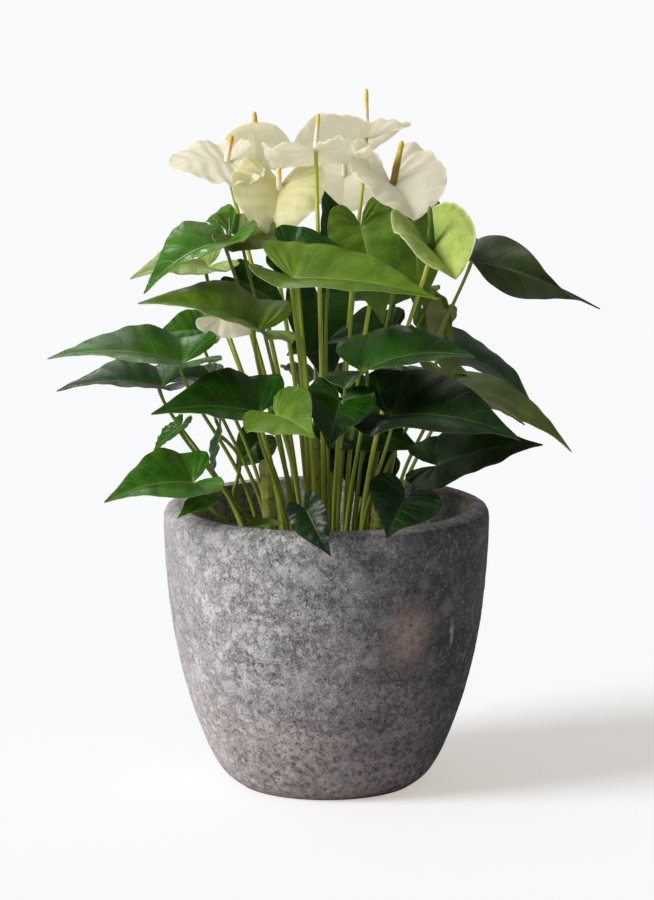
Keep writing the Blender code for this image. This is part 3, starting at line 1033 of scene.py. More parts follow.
def add_tube(
    bm: bmesh.types.BMesh, route: Sequence[Vector], radii: Sequence[float], sides: int, slot: int
) -> list[dict[bmesh.types.BMVert, float]]:
    """Adds a capped round tube along a route, with a radius at each of its points.

    Args:
        bm: the mesh that it joins.
        route: the centreline.
        radii: the radius at each point.
        sides: how many sides it has.
        slot: its material slot.

    Returns:
        Its rings, each with its vertices and their angles round the route.
    """
    layer = bm.loops.layers.uv.get(FORM) or bm.loops.layers.uv.new(FORM)
    first = bmesh.ops.create_circle(bm, segments=sides, radius=1.0)["verts"]
    edges = list({edge for vertex in first for edge in vertex.link_edges})
    faces = bmesh.ops.contextual_create(bm, geom=edges)["faces"]
    rings = [{vertex: math.atan2(vertex.co.y, vertex.co.x) for vertex in first}]
    for _ in route[1:]:
        grown = bmesh.ops.extrude_edge_only(bm, edges=edges)["geom"]
        ring = {v: math.atan2(v.co.y, v.co.x) for v in grown if isinstance(v, bmesh.types.BMVert)}
        edges = [e for e in grown if isinstance(e, bmesh.types.BMEdge) and all(v in ring for v in e.verts)]
        faces += [f for f in grown if isinstance(f, bmesh.types.BMFace)]
        rings.append(ring)
    faces += bmesh.ops.contextual_create(bm, geom=edges)["faces"]
    side = Vector((1, 0, 0))
    places = {}
    for index, ring in enumerate(rings):
        ahead = (route[min(index + 1, len(route) - 1)] - route[max(index - 1, 0)]).normalized()
        side = (side - side.dot(ahead) * ahead).normalized()
        for vertex, angle in ring.items():
            out = side * math.cos(angle) + ahead.cross(side) * math.sin(angle)
            vertex.co = route[index] + out * radii[index]
            places[vertex] = (index / (len(route) - 1), angle / math.tau + 0.5)
    for face in faces:
        face.material_index = slot
        for loop in face.loops:
            loop[layer].uv = places[loop.vert]
    bmesh.ops.recalc_face_normals(bm, faces=faces)
    return rings


def turned(profile: Sequence[Vector], steps: int) -> bmesh.types.BMesh:
    """A body turned round the upright axis.

    Args:
        profile: its outline, from the axis and back to it.
        steps: how many steps one turn has.

    Returns:
        Its closed mesh, with the faces outwards.
    """
    bm = bmesh.new()
    line = [bm.verts.new(point) for point in profile]
    edges = [bm.edges.new(pair) for pair in zip(line, line[1:])]
    bmesh.ops.spin(
        bm,
        geom=line + edges,
        cent=(0, 0, 0),
        axis=(0, 0, 1),
        angle=math.tau,
        steps=steps,
        use_merge=True,
    )
    bmesh.ops.remove_doubles(bm, verts=bm.verts, dist=WELD)
    bmesh.ops.recalc_face_normals(bm, faces=bm.faces)
    return bm


def put(name: str, data: bpy.types.ID) -> bpy.types.Object:
    """A new object that holds the data, in the scene.

    Args:
        name: its name.
        data: its mesh, lamp or camera.

    Returns:
        The object.
    """
    made = bpy.data.objects.new(name, data)
    bpy.context.scene.collection.objects.link(made)
    return made


def piece(
    name: str,
    bm: bmesh.types.BMesh,
    materials: Sequence[bpy.types.Material],
    stands_for: Sequence[str] = (),
    crease: float = 60.0,
) -> bpy.types.Object:
    """Makes a finished piece of the object that rides on its body.

    Args:
        name: the piece's name.
        bm: its mesh, in place, which is used up.
        materials: its materials, in the order of their slots.
        stands_for: the CAD nodes that it replaces.
        crease: the angle past which an edge is sharp, in degrees.

    Returns:
        The object.
    """
    data = bpy.data.meshes.new(name)
    bm.to_mesh(data)
    bm.free()
    for material in materials:
        data.materials.append(material)
    data.shade_smooth()
    data.set_sharp_from_angle(angle=math.radians(crease))
    made = put(name, data)
    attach(made, BODY)
    if stands_for:
        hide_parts(*stands_for)
    log.info("%s: %d faces", name, len(data.polygons))
    return made


def thickened(bm: bmesh.types.BMesh, thickness: float) -> bmesh.types.BMesh:
    """Gives an open sheet its thickness.

    Args:
        bm: the sheet, which is used up.
        thickness: how thick it gets, half to each side.

    Returns:
        The closed mesh, with its underside and its rim in the slots after its upper side's.
    """
    data = bpy.data.meshes.new("sheet")
    bm.to_mesh(data)
    bm.free()
    sheet = put("sheet", data)
    for _ in range(RIM + 1):
        data.materials.append(None)
    solid = sheet.modifiers.new("Thickness", "SOLIDIFY")
    solid.thickness = thickness
    solid.offset = 0.0
    solid.use_even_offset = False
    solid.material_offset = UNDER
    solid.material_offset_rim = RIM
    graph = bpy.context.evaluated_depsgraph_get()
    thick = bpy.data.meshes.new_from_object(sheet.evaluated_get(graph))
    made = bmesh.new()
    made.from_mesh(thick)
    bpy.data.meshes.remove(thick)
    bpy.data.objects.remove(sheet)
    bpy.data.meshes.remove(data)
    return made


# ------------------------------------------------------------------------------------------------
# Blades
# ------------------------------------------------------------------------------------------------
@dataclass(frozen=True)
class Outline:
    """Half of a blade's outline, from the sinus round a lobe to the tip.

    Each station is the margin's place along the midrib and its half width, as shares of the
    blade's length and width, then the place on the midrib where that station's vein starts.
    """

    stations: tuple[Triple, ...]

    def at(self, u: float) -> list[float]:
        """The station at u, from 0 at the sinus to 1 at the tip."""
        along, out, root = cubic(self.stations, u * (len(self.stations) - 1))
        return [along, max(out, 0.0), max(root, 0.0)]


LEAF_OUTLINE = Outline(
    (
        (-0.13, 0.06, 0.0), (-0.25, 0.20, 0.0), (-0.23, 0.37, 0.0), (-0.07, 0.47, 0.02),
        (0.16, 0.50, 0.14), (0.38, 0.43, 0.32), (0.61, 0.28, 0.54), (0.83, 0.105, 0.78),
        (1.0, 0.008, 1.0),
    )
)
SPATHE_OUTLINE = Outline(
    (
        (-0.22, 0.05, 0.0), (-0.48, 0.20, 0.0), (-0.45, 0.38, 0.0), (-0.20, 0.48, 0.02),
        (0.10, 0.51, 0.14), (0.38, 0.485, 0.32), (0.66, 0.39, 0.56), (0.88, 0.22, 0.80),
        (1.0, 0.012, 1.0),
    )
)


@dataclass(frozen=True)
class Blade:
    """A leaf's or a spathe's blade, in millimetres and degrees.

    Attributes:
        junction: where the stem meets it.
        tip: where its tip is.
        width: its widest, across both halves.
        face: the way that its upper side faces.
        fold: how far each half rises from the midrib.
        arch: how high the midrib rises, as a share of the length.
        twist: how far the tip turns about the midrib.
        wave: the margin's slow ripple, as a share of the width.
        quilt: how far the flesh swells between the veins.
        ruffle: a finer, uneven ripple of the outer half, as a share of the width.
        lift: how far the lobes rise behind the junction, as a share of the length.
        droop: how far the tip's end hangs, as a share of the length.
        lobes: how long the lobes are beside their outline's.
        frill: the fine, uneven crimp of the margin.
        pinch: how far the lobes draw together, from 0 to 1.
    """

    junction: Triple
    tip: Triple
    width: float
    face: Triple
    fold: float = 12.0
    arch: float = 0.08
    twist: float = 0.0
    wave: float = 0.03
    quilt: float = 0.5
    ruffle: float = 0.018
    lift: float = 0.35
    droop: float = 0.0
    lobes: float = 1.0
    frill: float = 1.2
    pinch: float = 0.0

    # How many of each lie along half of the margin.
    MARGIN_WAVES = 2.5
    SIDE_VEINS = 9.0
    RUFFLES = 4.5
    CRIMPS = 17.0

    CREASE = 1.6  # mm over which the fold rounds off at the midrib
    RIB_DEPTH = 0.5  # mm that the midrib lies below the flesh
    RIB_WIDTH = 1.3
    COLUMN_PACKING = 1.2  # how much closer the grid's columns stand at the midrib
    JOIN = 0.02 * MM

    def _span(self) -> Vector:
        """From the junction to the tip."""
        return Vector(self.tip) - Vector(self.junction)

    def axes(self) -> tuple[Vector, Vector, Vector]:
        """The blade's own directions.

        Returns:
            Along the midrib, across it, and out of the upper side.
        """
        along = self._span().normalized()
        face = Vector(self.face)
        up = (face - face.dot(along) * along).normalized()
        return along, up.cross(along), up

    def _ripple(self, u: float, v: float, out: float) -> float:
        """How far the margin's wave, its ruffle and its frill lift a point, and the flesh's swelling.

        Args:
            u: from 0 at the sinus to 1 at the tip.
            v: from -1 at one margin to 1 at the other.
            out: the margin's distance from the midrib there, as a share of the width.

        Returns:
            The four rises, in millimetres, in that order.
        """
        reach = abs(v)
        side = 1.0 if v > 0 else -1.0
        wave = 2 * out * self.wave * self.width * reach**2 * math.sin(math.tau * self.MARGIN_WAVES * u + v)
        drift = noise.noise(Vector((u * self.RUFFLES, side * (2.0 + reach), self.width * 0.37)))
        ruffle = 2 * out * self.ruffle * self.width * reach**1.5 * 3.0 * drift
        crimp = noise.noise(Vector((u * self.CRIMPS, side * 7.0 + reach * 1.4, self.width * 0.71)))
        frill = self.frill * reach**3 * 2.0 * crimp * min(1.0, 4 * out)
        swell = math.sin(math.pi * (u - 0.06 * reach**2) * self.SIDE_VEINS) ** 2
        quilt = self.quilt * swell * 4 * reach * (1 - reach) * min(1.0, 3 * out)
        return wave, ruffle, frill, quilt

    def surface(self, outline: Outline, u: float, v: float) -> Vector:
        """A point on the blade.

        Args:
            outline: the blade's outline.
            u: from 0 at the sinus to 1 at the tip.
            v: from -1 at one margin to 1 at the other.

        Returns:
            Its place, in metres.
        """
        along, across, up = self.axes()
        length = self._span().length
        margin, out, root = outline.at(u)
        reach = abs(v)
        t = root + (margin - root) * reach
        t = t if t > 0 else t * self.lobes
        y = out * v * self.width * (1 - self.pinch * min(max(-3 * t, 0.0), 1.0))
        soft = math.hypot(y, self.CREASE) - self.CREASE
        z = soft * math.tan(math.radians(self.fold)) * (1.2 - 0.5 * reach)
        for rise in self._ripple(u, v, out):
            z += rise
        z -= self.RIB_DEPTH * math.exp(-((y / self.RIB_WIDTH) ** 2)) * (1 - t)
        turn = math.radians(self.twist) * max(t, 0.0)
        y, z = y * math.cos(turn) - z * math.sin(turn), y * math.sin(turn) + z * math.cos(turn)
        z += length * (4 * self.arch * t * (1 - t) - self.droop * t**4 if t > 0 else -self.lift * t)
        return (Vector(self.junction) + along * (t * length) + across * y + up * z) * MM

    def sheet(self, outline: Outline, columns: int = 72, rows: int = 28) -> bmesh.types.BMesh:
        """Lays the blade out on a grid.

        Args:
            outline: the blade's outline.
            columns: how many faces it has along its midrib.
            rows: how many it has across.

        Returns:
            The blade as an open sheet.
        """
        bm = bmesh.new()
        layer = bm.loops.layers.uv.new(FORM)
        bmesh.ops.create_grid(bm, x_segments=columns, y_segments=rows, size=0.5)
        for face in bm.faces:
            for loop in face.loops:
                loop[layer].uv = (loop.vert.co.x + 0.5, loop.vert.co.y + 0.5)
        for vertex in bm.verts:
            v = 2 * vertex.co.y
            packed = math.copysign(abs(v) ** self.COLUMN_PACKING, v)
            vertex.co = self.surface(outline, vertex.co.x + 0.5, packed)
        bmesh.ops.remove_doubles(bm, verts=bm.verts, dist=self.JOIN)
        return bm


# ------------------------------------------------------------------------------------------------
# The plant
# ------------------------------------------------------------------------------------------------
@dataclass(frozen=True)
class Stems:
    """How petioles and stalks rise from the soil: the same rule as the CAD model's."""

    soil_top: float = 208 * MM
    gap: float = 0.3 * MM  # over the soil
    low_pull: float = 0.66  # how near the axis a foot stands, for the lowest blade
    high_pull: float = 0.24  # and for a blade at the crown's height
    crown_height: float = 400 * MM
    junction_inset: float = 4 * MM
    reach: float = 1.2 * MM  # through the blade
    upright: float = 0.42  # how long a stem rises straight, as a share of its height
    arrival: float = 0.25  # how long it heads for its junction
    arrival_reach: float = 45 * MM
    points: int = 10
    spacing: float = 6.9 * MM
    cane_spacing: float = 11 * MM
    rounds: int = 90
    samples: tuple[float, ...] = (0.0, 0.25, 0.5, 0.75)  # the places looked at between two points
    push_share: float = 0.3
    push_span: int = 3  # how many points to each side a push fades over
    least_push: float = 0.02 * MM
    crossing: float = 0.01 * MM  # centrelines nearer than this are pushed apart by their names

    def route(self, blade: Blade) -> list[Vector]:
        """The course of a blade's stem.

        Args:
            blade: the blade that it carries.

        Returns:
            Its points, from its foot up through the blade at its junction.
        """
        along, _, up = blade.axes()
        end = Vector(blade.junction) * MM + along * self.junction_inset + up * self.reach
        share = min((end.z - self.soil_top) / self.crown_height, 1.0)
        pull = self.low_pull + (self.high_pull - self.low_pull) * share
        foot = Vector((end.x * pull, end.y * pull, self.soil_top + self.gap))
        rise = (end - foot).length
        arrive = ((end - foot).normalized() + up).normalized()
        second = end - arrive * min(self.arrival * rise, self.arrival_reach)
        return bezier(foot, foot + Vector((0, 0, self.upright * rise)), second, end, self.points)

    def _sampled(self, routes: dict[str, list[Vector]]) -> list[tuple[str, float, Vector]]:
        """Looks at places along every stem.

        Args:
            routes: each stem's points, by name.

        Returns:
            For each place, the stem's name, how far along it is, counted in points, and where.
        """
        return [
            (name, i + share, route[i].lerp(route[i + 1], share))
            for name, route in routes.items()
            for i in range(len(route) - 1)
            for share in self.samples
        ]

    def spread(self, routes: dict[str, list[Vector]], held: frozenset[str] = frozenset()) -> None:
        """Moves the stems apart sideways until their centrelines are clear, with their tops held.

        Args:
            routes: each stem's points, by name; canes hold still.
            held: the names of further stems that hold still.
        """
        for _ in range(self.rounds):
            samples = self._sampled(routes)
            tree = KDTree(len(samples))
            for index, (_, _, point) in enumerate(samples):
                tree.insert(point, index)
            tree.balance()
            moved = False
            for name, place, point in samples:
                push = Vector((0, 0, 0))
                for other, index, distance in tree.find_range(point, self.cane_spacing):
                    beside = samples[index][0]
                    spacing = self.cane_spacing if beside.startswith("cane") else self.spacing
                    if beside != name and distance < spacing:
                        away = point - other
                        away.z = 0.0
                        if away.length < self.crossing:
                            away = Vector((1.0 if name < beside else -1.0, 0.3, 0.0))
                        push += away.normalized() * (spacing - distance) * self.push_share
                route = routes[name]
                near = round(place)
                if push.length > self.least_push and not name.startswith("cane") and name not in held:
                    moved = True
                    first = max(near - self.push_span + 1, 0)
                    for i in range(first, min(near + self.push_span, len(route) - 1)):
                        route[i] += push * (1.0 - abs(i - near) / self.push_span)
            for route in routes.values():
                route[0] = Vector((route[1].x, route[1].y, route[0].z))
            if not moved:
                return


@dataclass(frozen=True)
class Leaf:
    """A heart-shaped leaf and its petiole, grown as one."""

    blade: Blade
    tone: Tone = Tone.MID

    THICKNESS = 0.7 * MM
    RADIUS = 1.85 * MM
    RINGS = 44
    SIDES = 10
    TOP_INSET = 0.6  # mm that the petiole's top lies under the blade
    KNEE = (0.955, 0.035)  # the swelling below the blade: its place and its span, as shares
    SHEATH = 0.10  # the span of the sheath at the foot

    def _radii(self) -> list[float]:
        """The petiole's radii, from its sheath past its knee to its end.

        Returns:
            A radius for each ring.
        """
        radii = []
        for i in range(self.RINGS):
            share = i / (self.RINGS - 1)
            knee = math.exp(-(((share - self.KNEE[0]) / self.KNEE[1]) ** 2))
            sheath = math.exp(-((share / self.SHEATH) ** 2))
            radii.append(self.RADIUS * (1.12 - 0.28 * share + 0.20 * knee + 0.35 * sheath))
        radii[-1] *= 0.6
        return radii

    def build(self, name: str, route: Sequence[Vector], library: Library, in_cad: bool) -> None:
        """Makes the leaf on its route.

        Args:
            name: the leaf's name.
            route: its petiole's points.
            library: the materials.
            in_cad: whether it stands for a CAD node.
        """
        bm = thickened(self.blade.sheet(LEAF_OUTLINE), self.THICKNESS)
        up = self.blade.axes()[2]
        points = smooth_route(route, self.RINGS)
        points[-1] -= up * self.TOP_INSET * MM
        radii = self._radii()
        sink(points, radii)
        add_tube(bm, points, radii, self.SIDES, STEM)
        materials = (*library.leaf[self.tone], library.petiole)
        piece(name + "_blade", bm, materials, (name,) if in_cad else ())


@dataclass(frozen=True)
class Flower:
    """A flower: its spathe, and the stalk that ends in its spadix.

    Attributes:
        spathe: the spathe's blade.
        lean: the way that the spadix points.
        length: the spadix's length, in millimetres.
        bloom: the spathe's kind.
        ripeness: the spadix's colours.
        girth: the spadix's radius, in millimetres.
    """

    spathe: Blade
    lean: Triple
    length: float
    bloom: Bloom = Bloom.WHITE
    ripeness: Ripeness = Ripeness.YELLOW
    girth: float = 3.4

    THICKNESS = 0.9 * MM
    GRID = (80, 36)
    STALK_RADIUS = 2.1 * MM
    STALK_RINGS = 48
    STALK_SIDES = 12
    SPADIX_RINGS = 72
    SPADIX_SIDES = 24
    SPADIX_SUNK = 1.5  # mm that the spadix reaches down into its stalk
    NECK = 0.06  # the share over which its foot widens
    CROWN = 0.90  # the share past which its tip rounds off
    BUD_ROWS = 8
    BUD_WINDING = 2.2
    BUD_HEIGHT = 0.16  # mm

    def build(self, number: str, route: Sequence[Vector], library: Library) -> None:
        """Makes the spathe and the stalk with its spadix.

        Args:
            number: the flower's number.
            route: its stalk's points.
            library: the materials.
        """
        face, back = library.spathe[self.bloom]
        sheet = thickened(self.spathe.sheet(SPATHE_OUTLINE, *self.GRID), self.THICKNESS)
        piece("flower_%s_spathe" % number, sheet, (face, back, face), ("spathe_" + number,))
        bm = bmesh.new()
        last = self.STALK_RINGS - 1
        points = smooth_route(route, self.STALK_RINGS)
        radii = [self.STALK_RADIUS * (1.15 - 0.3 * i / last) for i in range(self.STALK_RINGS)]
        sink(points, radii)
        add_tube(bm, points, radii, self.STALK_SIDES, 0)
        self._add_spadix(bm, points[-1], (points[-1] - points[-3]).normalized())
        materials = (library.stalk, library.spadix[self.ripeness])
        piece("flower_%s_stalk" % number, bm, materials, ("stalk_" + number,))

    def _add_spadix(self, bm: bmesh.types.BMesh, foot: Vector, start: Vector) -> None:
        """Adds the spadix: a tapering finger covered in rows of buds that wind both ways round it.

        Args:
            bm: the mesh that it joins.
            foot: the stalk's top.
            start: the way that the stalk points there.
        """
        out = Vector(self.lean).normalized()
        length = self.length * MM
        base = foot - start * self.SPADIX_SUNK * MM
        second = foot + start * 0.15 * length
        route = bezier(base, second, foot + out * 0.6 * length, foot + out * length, self.SPADIX_RINGS)
        radii = []
        for i in range(self.SPADIX_RINGS):
            share = i / (self.SPADIX_RINGS - 1)
            body = 0.92 - 0.30 * share if share > self.NECK else 0.66 + 4.3 * share * 0.95
            crown = math.sqrt(max(1 - max(share - self.CROWN, 0) ** 2 * 98, 0.03))
            radii.append(self.girth * MM * body * crown)
        rings = add_tube(bm, route, radii, self.SPADIX_SIDES, 1)
        spacing = length / self.SPADIX_RINGS / MM
        for index, ring in enumerate(rings[1:-1], start=1):
            wind = index * spacing * self.BUD_WINDING
            for vertex, angle in ring.items():
                bud = math.cos(self.BUD_ROWS * angle + wind) * math.cos(self.BUD_ROWS * angle - wind)
                vertex.co += (vertex.co - route[index]).normalized() * bud * self.BUD_HEIGHT * MM


@dataclass(frozen=True)
class Cane:
    """A short woody cane: its foot, the lean of its top, its length and its radius, in millimetres."""

    foot: tuple[float, float]
    lean: tuple[float, float]
    length: float
    radius: float

    POINTS = 9
    RINGS = 90
    SIDES = 20
    SCARS = 5.0
    LUMPS = 160  # a metre
    CROWN = 0.93  # the share past which its top rounds off

    def route(self, stems: Stems) -> list[Vector]:
        """The cane's course.

        Args:
            stems: what says where the soil is.

        Returns:
            Its points, from the soil up.
        """
        start = Vector((self.foot[0] * MM, self.foot[1] * MM, stems.soil_top + stems.gap))
        end = start + Vector((*self.lean, self.length)) * MM
        first = start + Vector((0, 0, 0.4 * self.length)) * MM
        return bezier(start, first, start.lerp(end, 0.7), end, self.POINTS)

    def build(self, name: str, route: Sequence[Vector], library: Library) -> None:
        """Makes the cane, knobbed at its leaf scars.

        Args:
            name: the cane's name.
            route: its points.
            library: the materials.
        """
        bm = bmesh.new()
        points = smooth_route(route, self.RINGS)
        radii = []
        for i in range(self.RINGS):
            share = i / (self.RINGS - 1)
            scar = math.tau * (share * self.SCARS + 0.4 * math.sin(share * 9.0))
            knob = (0.5 + 0.5 * math.cos(scar)) ** 4
            lump = noise.noise(points[i] * self.LUMPS + Vector((self.length, 0, 0)))
            top = math.sqrt(max(1 - max(share - self.CROWN, 0) ** 2 * 180, 0.05))
            radii.append(self.radius * MM * (0.94 + 0.09 * knob + 0.10 * lump) * top)
        sink(points, radii)
        add_tube(bm, points, radii, self.SIDES, 0)
        piece(name + "_bark", bm, (library.bark,), (name,))


class Plant:
    """Every leaf, flower and cane, on stems that keep clear of each other."""

    CANES = {
        "cane_left": Cane((-52, -42), (-6, -6), 112, 6.0),
        "cane_middle": Cane((-8, 6), (-4, 4), 128, 5.5),
        "cane_right": Cane((44, -8), (6, -4), 62, 6.5),
    }
    # A blade's junction, tip, width and face, then its fold, arch and twist.
    LEAVES = {
        # upper tier
        "leaf_01": Leaf(
            Blade((-92, -40, 526), (-169, -80, 482), 72, (0, -1, 4), 26, 0.12, quilt=0.9), Tone.BRIGHT
        ),
        "leaf_02": Leaf(Blade((-112, 14, 495), (-184, -30, 489), 66, (0, -1, 3)), Tone.PALE),
        "leaf_03": Leaf(
            Blade((-64, -68, 445), (-174, -95, 475), 90, (0, -1, 2.7), 25, 0.10, quilt=1.4), Tone.FRESH
        ),
        "leaf_04": Leaf(
            Blade((-30, -99, 499), (102, -138, 485), 80, (0, -1, 2.4), 26, 0.05, quilt=0.9), Tone.FRESH
        ),
        "leaf_05": Leaf(Blade((-34, -68, 518), (38, -74, 497), 54, (0, -1, 0.7), 12), Tone.DEEP),
        "leaf_06": Leaf(Blade((10, -4, 509), (-6, -10, 574), 48, (0.7, -1, 0.1), 28), Tone.DEEP),
        "leaf_07": Leaf(
            Blade((32, -48, 541), (53, -56, 450), 66, (0.1, -1, 0.1), 12, 0.06, quilt=1.2), Tone.FRESH
        ),
        "leaf_08": Leaf(
            Blade((133, -2, 503), (257, -26, 460), 54, (0, -0.15, 1), 36, 0.05, 190), Tone.TURNED
        ),
        "leaf_09": Leaf(Blade((82, 26, 536), (86, -4, 450), 60, (0.2, -1, 0.2)), Tone.FRESH),
        "leaf_10": Leaf(Blade((-84, 64, 470), (-52, 52, 447), 42, (0.2, -1.5, 2)), Tone.DEEP),
        # middle tier
        "leaf_11": Leaf(Blade((-134, -60, 414), (-259, -80, 421), 86, (0, -1, 3.8), 20, 0.08), Tone.MID),
        "leaf_12": Leaf(Blade((-155, -20, 385), (-253, -45, 385), 72, (0, -1, 4), 22), Tone.DEEP),
        "leaf_13": Leaf(Blade((-108, 24, 385), (-162, -8, 385), 50, (0, -1, 3)), Tone.DEEP),
        "leaf_14": Leaf(Blade((-62, -93, 372), (-161, -128, 377), 90, (0, -1, 2), 26, 0.08), Tone.DEEP),
        "leaf_15": Leaf(Blade((-46, -146, 379), (-11, -198, 367), 68, (-0.3, -1, 1.2), 16, 0.10), Tone.FRESH),
        "leaf_16": Leaf(Blade((13, -124, 388), (2, -172, 352), 66, (0, -1, 0.9), 20, 0.12), Tone.DEEP),
        "leaf_17": Leaf(Blade((34, -91, 411), (136, -125, 430), 96, (0.2, -1, 2.2), 22, 0.10), Tone.DEEP),
        # The darkest tone, here and on leaf_30, leaf_31, leaf_32 and inner_leaf_12, is painted shade for
        # leaves in shadow.
        "leaf_18": Leaf(Blade((58, -95, 369), (178, -140, 355), 98, (0, -1, 1.9), 24, 0.10), Tone.SHADED),
        "leaf_19": Leaf(Blade((118, -44, 392), (228, -84, 334), 64, (0.3, -0.3, 1), 8, 0.10), Tone.OLIVE),
        "leaf_20": Leaf(Blade((101, 62, 411), (206, 67, 334), 82, (0.2, -1, 3.5), 11, 0.14), Tone.DEEP),
        "leaf_21": Leaf(Blade((57, 43, 350), (42, 20, 330), 30, (0, -1.2, 1)), Tone.DEEP),
        "leaf_22": Leaf(Blade((2, 56, 427), (-38, 44, 405), 50, (0, -1.5, 1)), Tone.DEEP),
        "leaf_23": Leaf(Blade((-118, 52, 428), (-165, 38, 424), 46, (0, -1, 1)), Tone.MID),
        # lower tier
        "leaf_24": Leaf(Blade((-124, -95, 307), (-205, -125, 294), 74, (-0.2, -1.2, 2), 20, 0.10), Tone.MID),
        "leaf_25": Leaf(Blade((-110, -102, 294), (-138, -122, 278), 24, (-0.5, -1, 0.5)), Tone.MID),
        "leaf_26": Leaf(Blade((-98, -64, 350), (-104, -72, 300), 36, (-1, -0.2, 0.3)), Tone.DEEP),
        "leaf_27": Leaf(Blade((-137, -34, 350), (-163, -58, 326), 24, (-0.6, -0.6, 1)), Tone.MID),
        "leaf_28": Leaf(Blade((-62, 45, 326), (-87, 55, 294), 40, (0, -1, 0.4)), Tone.DEEP),
        "leaf_29": Leaf(Blade((4, 86, 300), (-10, 100, 266), 42, (0, -1, 0.3)), Tone.DEEP),
        "leaf_30": Leaf(Blade((-18, -156, 292), (4, -180, 254), 36, (-0.3, -1, 0.4), 20), Tone.SHADED),
        "leaf_31": Leaf(Blade((73, -125, 298), (55, -162, 268), 70, (0, -1.5, 0.8), 20), Tone.SHADED),
        "leaf_32": Leaf(Blade((104, -66, 318), (201, -92, 342), 70, (0, -1, 1.4), 8), Tone.SHADED),
        "leaf_33": Leaf(Blade((52, 100, 295), (26, 84, 268), 46, (0, -1, 0.3)), Tone.DEEP),
        # back
        "leaf_34": Leaf(Blade((-54, 100, 436), (-112, 182, 424), 74, (-0.2, 1, 2), 14, 0.10), Tone.MID),
        "leaf_35": Leaf(Blade((64, 72, 450), (105, 185, 430), 80, (0, 1, 2), 14, 0.10), Tone.MID),
        "leaf_36": Leaf(Blade((-10, 98, 374), (-26, 196, 346), 66, (0, 1, 2), 14, 0.12), Tone.DEEP),
        "leaf_37": Leaf(Blade((70, 100, 372), (150, 175, 350), 78, (0.5, 0.5, 2), 14, 0.10), Tone.DEEP),
    }
    # The crown's inner leaves, which the frame's 60 nodes have no room for.
    INNER_LEAVES = {
        "inner_leaf_1": Leaf(Blade((-8, 58, 462), (2, 40, 372), 64, (0, -1, 0.3)), Tone.DEEP),
        "inner_leaf_2": Leaf(Blade((-82, 6, 482), (-36, -6, 454), 46, (0.1, -1, 1)), Tone.DEEP),
        "inner_leaf_3": Leaf(Blade((62, 34, 428), (-2, 20, 420), 64, (0, -1, 1.6), 14), Tone.DEEP),
        "inner_leaf_4": Leaf(Blade((18, -20, 374), (74, -38, 366), 52, (0, -1, 1.2)), Tone.DEEP),
        "inner_leaf_5": Leaf(Blade((92, 30, 452), (120, 12, 420), 50, (0, 1, 0.8)), Tone.MID),
        "inner_leaf_6": Leaf(Blade((14, 8, 342), (92, -14, 322), 58, (0, -1, 0.9)), Tone.DEEP),
        "inner_leaf_7": Leaf(Blade((30, 44, 306), (38, 34, 262), 40, (0, -1, 0.2)), Tone.DEEP),
        "inner_leaf_8": Leaf(Blade((-4, 40, 318), (0, 26, 284), 34, (0, -1, 0.3)), Tone.DEEP),
        "inner_leaf_9": Leaf(Blade((-84, -34, 530), (-4, -42, 522), 44, (0, -1, 1.0), 16), Tone.OLIVE),
        "inner_leaf_10": Leaf(Blade((108, -14, 384), (187, -30, 350), 50, (0.2, 0.8, 1)), Tone.OLIVE),
        "inner_leaf_11": Leaf(Blade((112, 16, 454), (98, 10, 426), 30, (0, 1, 0.5)), Tone.OLIVE),
        "inner_leaf_12": Leaf(Blade((32, 34, 322), (64, 14, 268), 62, (0, -1, 0.4)), Tone.SHADED),
    }
    FLOWERS = {
        "1": Flower(
            Blade(
                (-90, 14, 594), (-148, -6, 592), 88, (0, -1, 3.0), -8, 0.08,
                quilt=1.2, ruffle=0.03, lobes=0.8, frill=3.0,
            ),
            (0.2, 0, 1), 25,
        ),
        "2": Flower(
            Blade(
                (-65, 74, 586), (-70, 62, 637), 68, (0, 1, 0.5), 16, -0.16,
                quilt=0.8, ruffle=0.02, droop=0.6, lobes=0.35, frill=1.5,
            ),
            (-0.08, 0.12, 1), 46, Bloom.AGED,
        ),
        "3": Flower(
            Blade(
                (-11, -50, 614), (8, 12, 596), 98, (0, 0.3, 1), -4, -0.10,
                wave=0.05, quilt=1.3, ruffle=0.04, lift=0.0, frill=5.0,
            ),
            (0.08, 0, 1), 32, Bloom.WHITE, Ripeness.PALE, 2.7,
        ),
        "4": Flower(
            Blade(
                (42, 64, 612), (-35, 58, 612), 86, (0, 0.4, 1), 4, 0.01, 50,
                quilt=1.4, ruffle=0.035, droop=0.2, frill=3.0, pinch=0.75,
            ),
            (0, 0, 1), 46, Bloom.WHITE, Ripeness.PALE, 2.9,
        ),
        "5": Flower(
            Blade(
                (60, -30, 579), (82, -74, 550), 90, (0.5, -1, 0.6), 30, 0.08,
                quilt=1.5, ruffle=0.03, lift=0.6, frill=2.4,
            ),
            (0.2, -0.2, 1), 44, Bloom.WHITE, Ripeness.OLIVE, 4.0,
        ),
        "6": Flower(
            Blade(
                (-44, -3, 573), (-51, -40, 530), 86, (0, -1, 0.9), 30,
                quilt=1.6, ruffle=0.035, lobes=0.6, frill=3.0,
            ),
            (0, -0.2, 1), 22, Bloom.TURNING, Ripeness.PALE,
        ),
        "7": Flower(
            Blade((18, 118, 574), (15, 104, 534), 74, (0, -1, 0.8), quilt=0.9, frill=1.5), (0, -0.5, 1), 30
        ),
        "8": Flower(
            Blade((-100, -11, 450), (-58, -14, 445), 50, (0, -1, 0.8), ruffle=0.03, frill=1.5),
            (0, -0.2, 1), 26,
        ),
        "9": Flower(
            Blade(
                (95, -89, 527), (118, -134, 503), 72, (0.25, -1, 0.9), 48, 0.02,
                quilt=0.8, ruffle=0.03, frill=1.0,
            ),
            (-0.05, -0.3, 1), 42, Bloom.GREEN, Ripeness.GREEN,
        ),
    }

